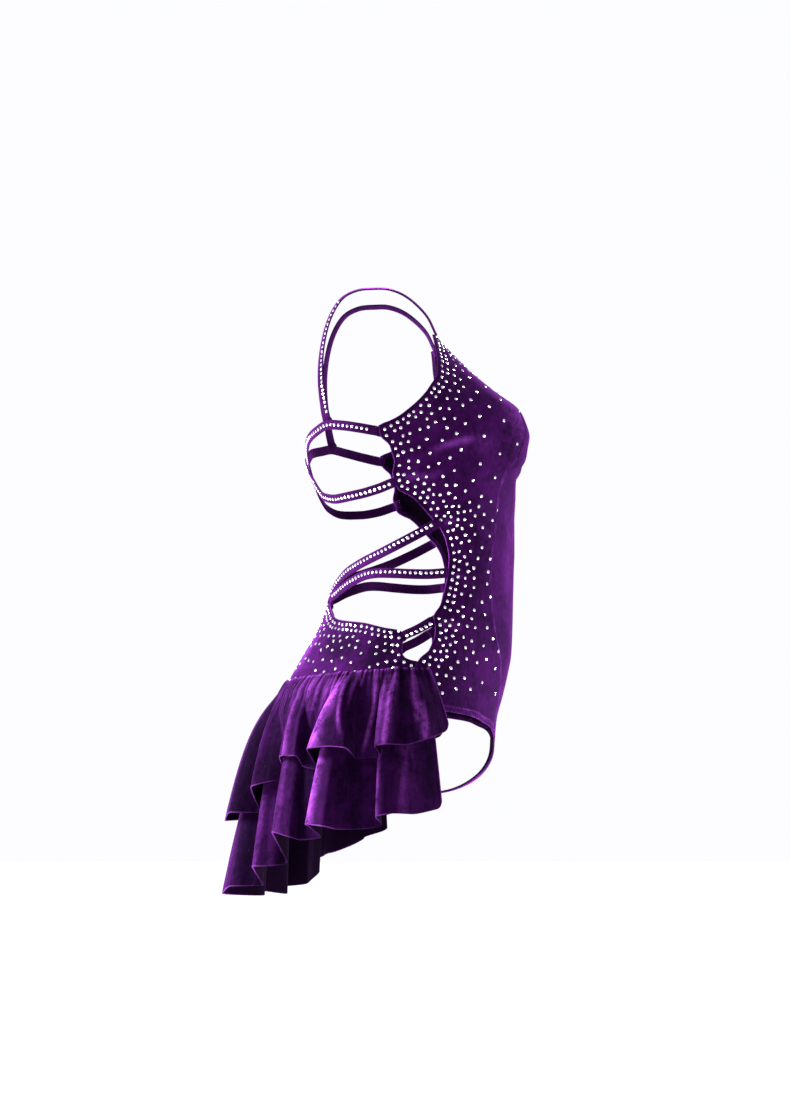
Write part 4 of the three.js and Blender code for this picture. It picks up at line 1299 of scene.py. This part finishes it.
def side_limit(places):
    """There are no stones on the brief, below the ruffles' seam."""
    return np.where(places[:, 2] < -505, 0, 165)


def centre_crowd(places):
    return np.ones(len(places))


def centre_limit(places):
    """The stones come down further beside the seams than at the centre front."""
    return np.where(np.abs(places[:, 0]) > 20, 60, 30)


def yoke_crowd(places):
    """The stones lie closer at the centre back."""
    return 1 - 0.25 * bump(places[:, 0], 30)


def yoke_limit(places):
    return np.full(len(places), 200.0)


for side, flip in (("right", False), ("left", True)):
    shoulder_strap(f"shoulder_strap_{side}", flip)
    line, normal = band_line(BACK_BAND, over_the_other_band if flip else on_the_figure)
    make_strap(f"back_band_{side}", line, normal, (12, 4, 0), flip)
    waist_strap(f"upper_waist_strap_{side}", UPPER_WAIST_STRAP, (5, 3, 1.5), flip)
    waist_strap(f"lower_waist_strap_{side}", LOWER_WAIST_STRAP, (5, 3, 1.5), flip)
    line, normal = band_line(HIP_STRAP, on_the_figure)
    make_strap(f"hip_strap_{side}", line, normal, (2, 1, 2.5), flip)

    outer = outer_left if flip else outer_right
    edge = outer[outer[:, -1, 2] > OPEN_SIDE_END, -1]
    neck = outer[outer[:, 0, 2] >= NECKLINE_END, 0]
    panel_stones(
        f"front_side_panel_{side}_stones", outer, [edge, neck],
        insets=[6.5, 13.5], pitch=7.3, crowd=side_crowd, limit=side_limit, seed=11,
    )

panel_stones(
    "front_centre_panel_stones", outer_centre, [outer_centre[0]],
    insets=[5, 10.5, 16], pitch=6.2, crowd=centre_crowd, limit=centre_limit, seed=5,
)
panel_stones(
    "back_yoke_stones", outer_yoke, [outer_yoke[0], outer_yoke[:, 0], outer_yoke[:, -1]],
    insets=[5.5, 12], pitch=6.8, crowd=yoke_crowd, limit=yoke_limit, seed=8,
)

ruffle(
    "upper_ruffle", UPPER_FOLDS, UPPER_CRESTS, UPPER_PAINTED_LIGHT, seam_drop=0, flare=UPPER_FLARE,
    under=RUFFLE_VELVET + 2.5, columns=620, rows=72, seed=3,
)
ruffle(
    "lower_ruffle", LOWER_FOLDS, LOWER_CRESTS, LOWER_PAINTED_LIGHT, seam_drop=RUFFLE_SPACING, flare=LOWER_FLARE,
    under=1, columns=548, rows=84, seed=4,
)


# ---- the studio ----

FLOOR_HEIGHT = -1.15
FLOOR_GLOW = 1.0
SOFT_LIGHT = 0.18  # of a white surround, from all sides
LIGHTS = (  # place, width and watts
    ("back_light", (0.4, 3.1, 0.9), 1.0, 620),
    ("front_light", (1.0, -3.0, 0.4), 1.4, 260),
    ("key_light", (-2.6, 0.6, 2.4), 1.0, 40),
)


def seen_only(tree, strength):
    """A white glow of the given strength that the camera sees and that lights nothing else."""
    path = tree.nodes.new("ShaderNodeLightPath")
    amount = add_node(tree, "ShaderNodeMath", operation="MULTIPLY")
    amount.inputs[1].default_value = strength
    tree.links.new(path.outputs["Is Camera Ray"], amount.inputs[0])
    return amount.outputs[0]


def studio():
    material, tree, shader = new_material("floor_paint")
    shader.inputs["Base Color"].default_value = (0.86, 0.86, 0.86, 1)
    shader.inputs["Roughness"].default_value = 0.9
    shader.inputs["Emission Color"].default_value = (1, 1, 1, 1)
    tree.links.new(seen_only(tree, FLOOR_GLOW), shader.inputs["Emission Strength"])
    reach = 14.0
    mesh = bpy.data.meshes.new("floor")
    corners = [(-reach, -reach, 0), (reach, -reach, 0), (reach, reach, 0), (-reach, reach, 0)]
    mesh.from_pydata([(x, y, FLOOR_HEIGHT) for x, y, _ in corners], [], [(0, 1, 2, 3)])
    mesh.materials.append(material)
    floor = bpy.data.objects.new("floor", mesh)
    bpy.context.scene.collection.objects.link(floor)

    world = bpy.data.worlds.new("studio")
    bpy.context.scene.world = world
    world.use_nodes = True
    tree = world.node_tree
    background = tree.nodes["Background"]
    background.inputs["Color"].default_value = (0.98, 0.98, 1.0, 1)
    strength = add_node(tree, "ShaderNodeMath", operation="ADD")
    strength.inputs[1].default_value = SOFT_LIGHT
    tree.links.new(seen_only(tree, 1 - SOFT_LIGHT), strength.inputs[0])
    tree.links.new(strength.outputs[0], background.inputs["Strength"])

    for name, place, size, power in LIGHTS:
        data = bpy.data.lights.new(name, "AREA")
        data.size = size
        data.energy = power
        light = bpy.data.objects.new(name, data)
        bpy.context.scene.collection.objects.link(light)
        light.location = place
        light.rotation_euler = (Vector((0, 0, -0.35)) - Vector(place)).to_track_quat("-Z", "Y").to_euler()

    bpy.context.scene.view_settings.view_transform = "Standard"


studio()
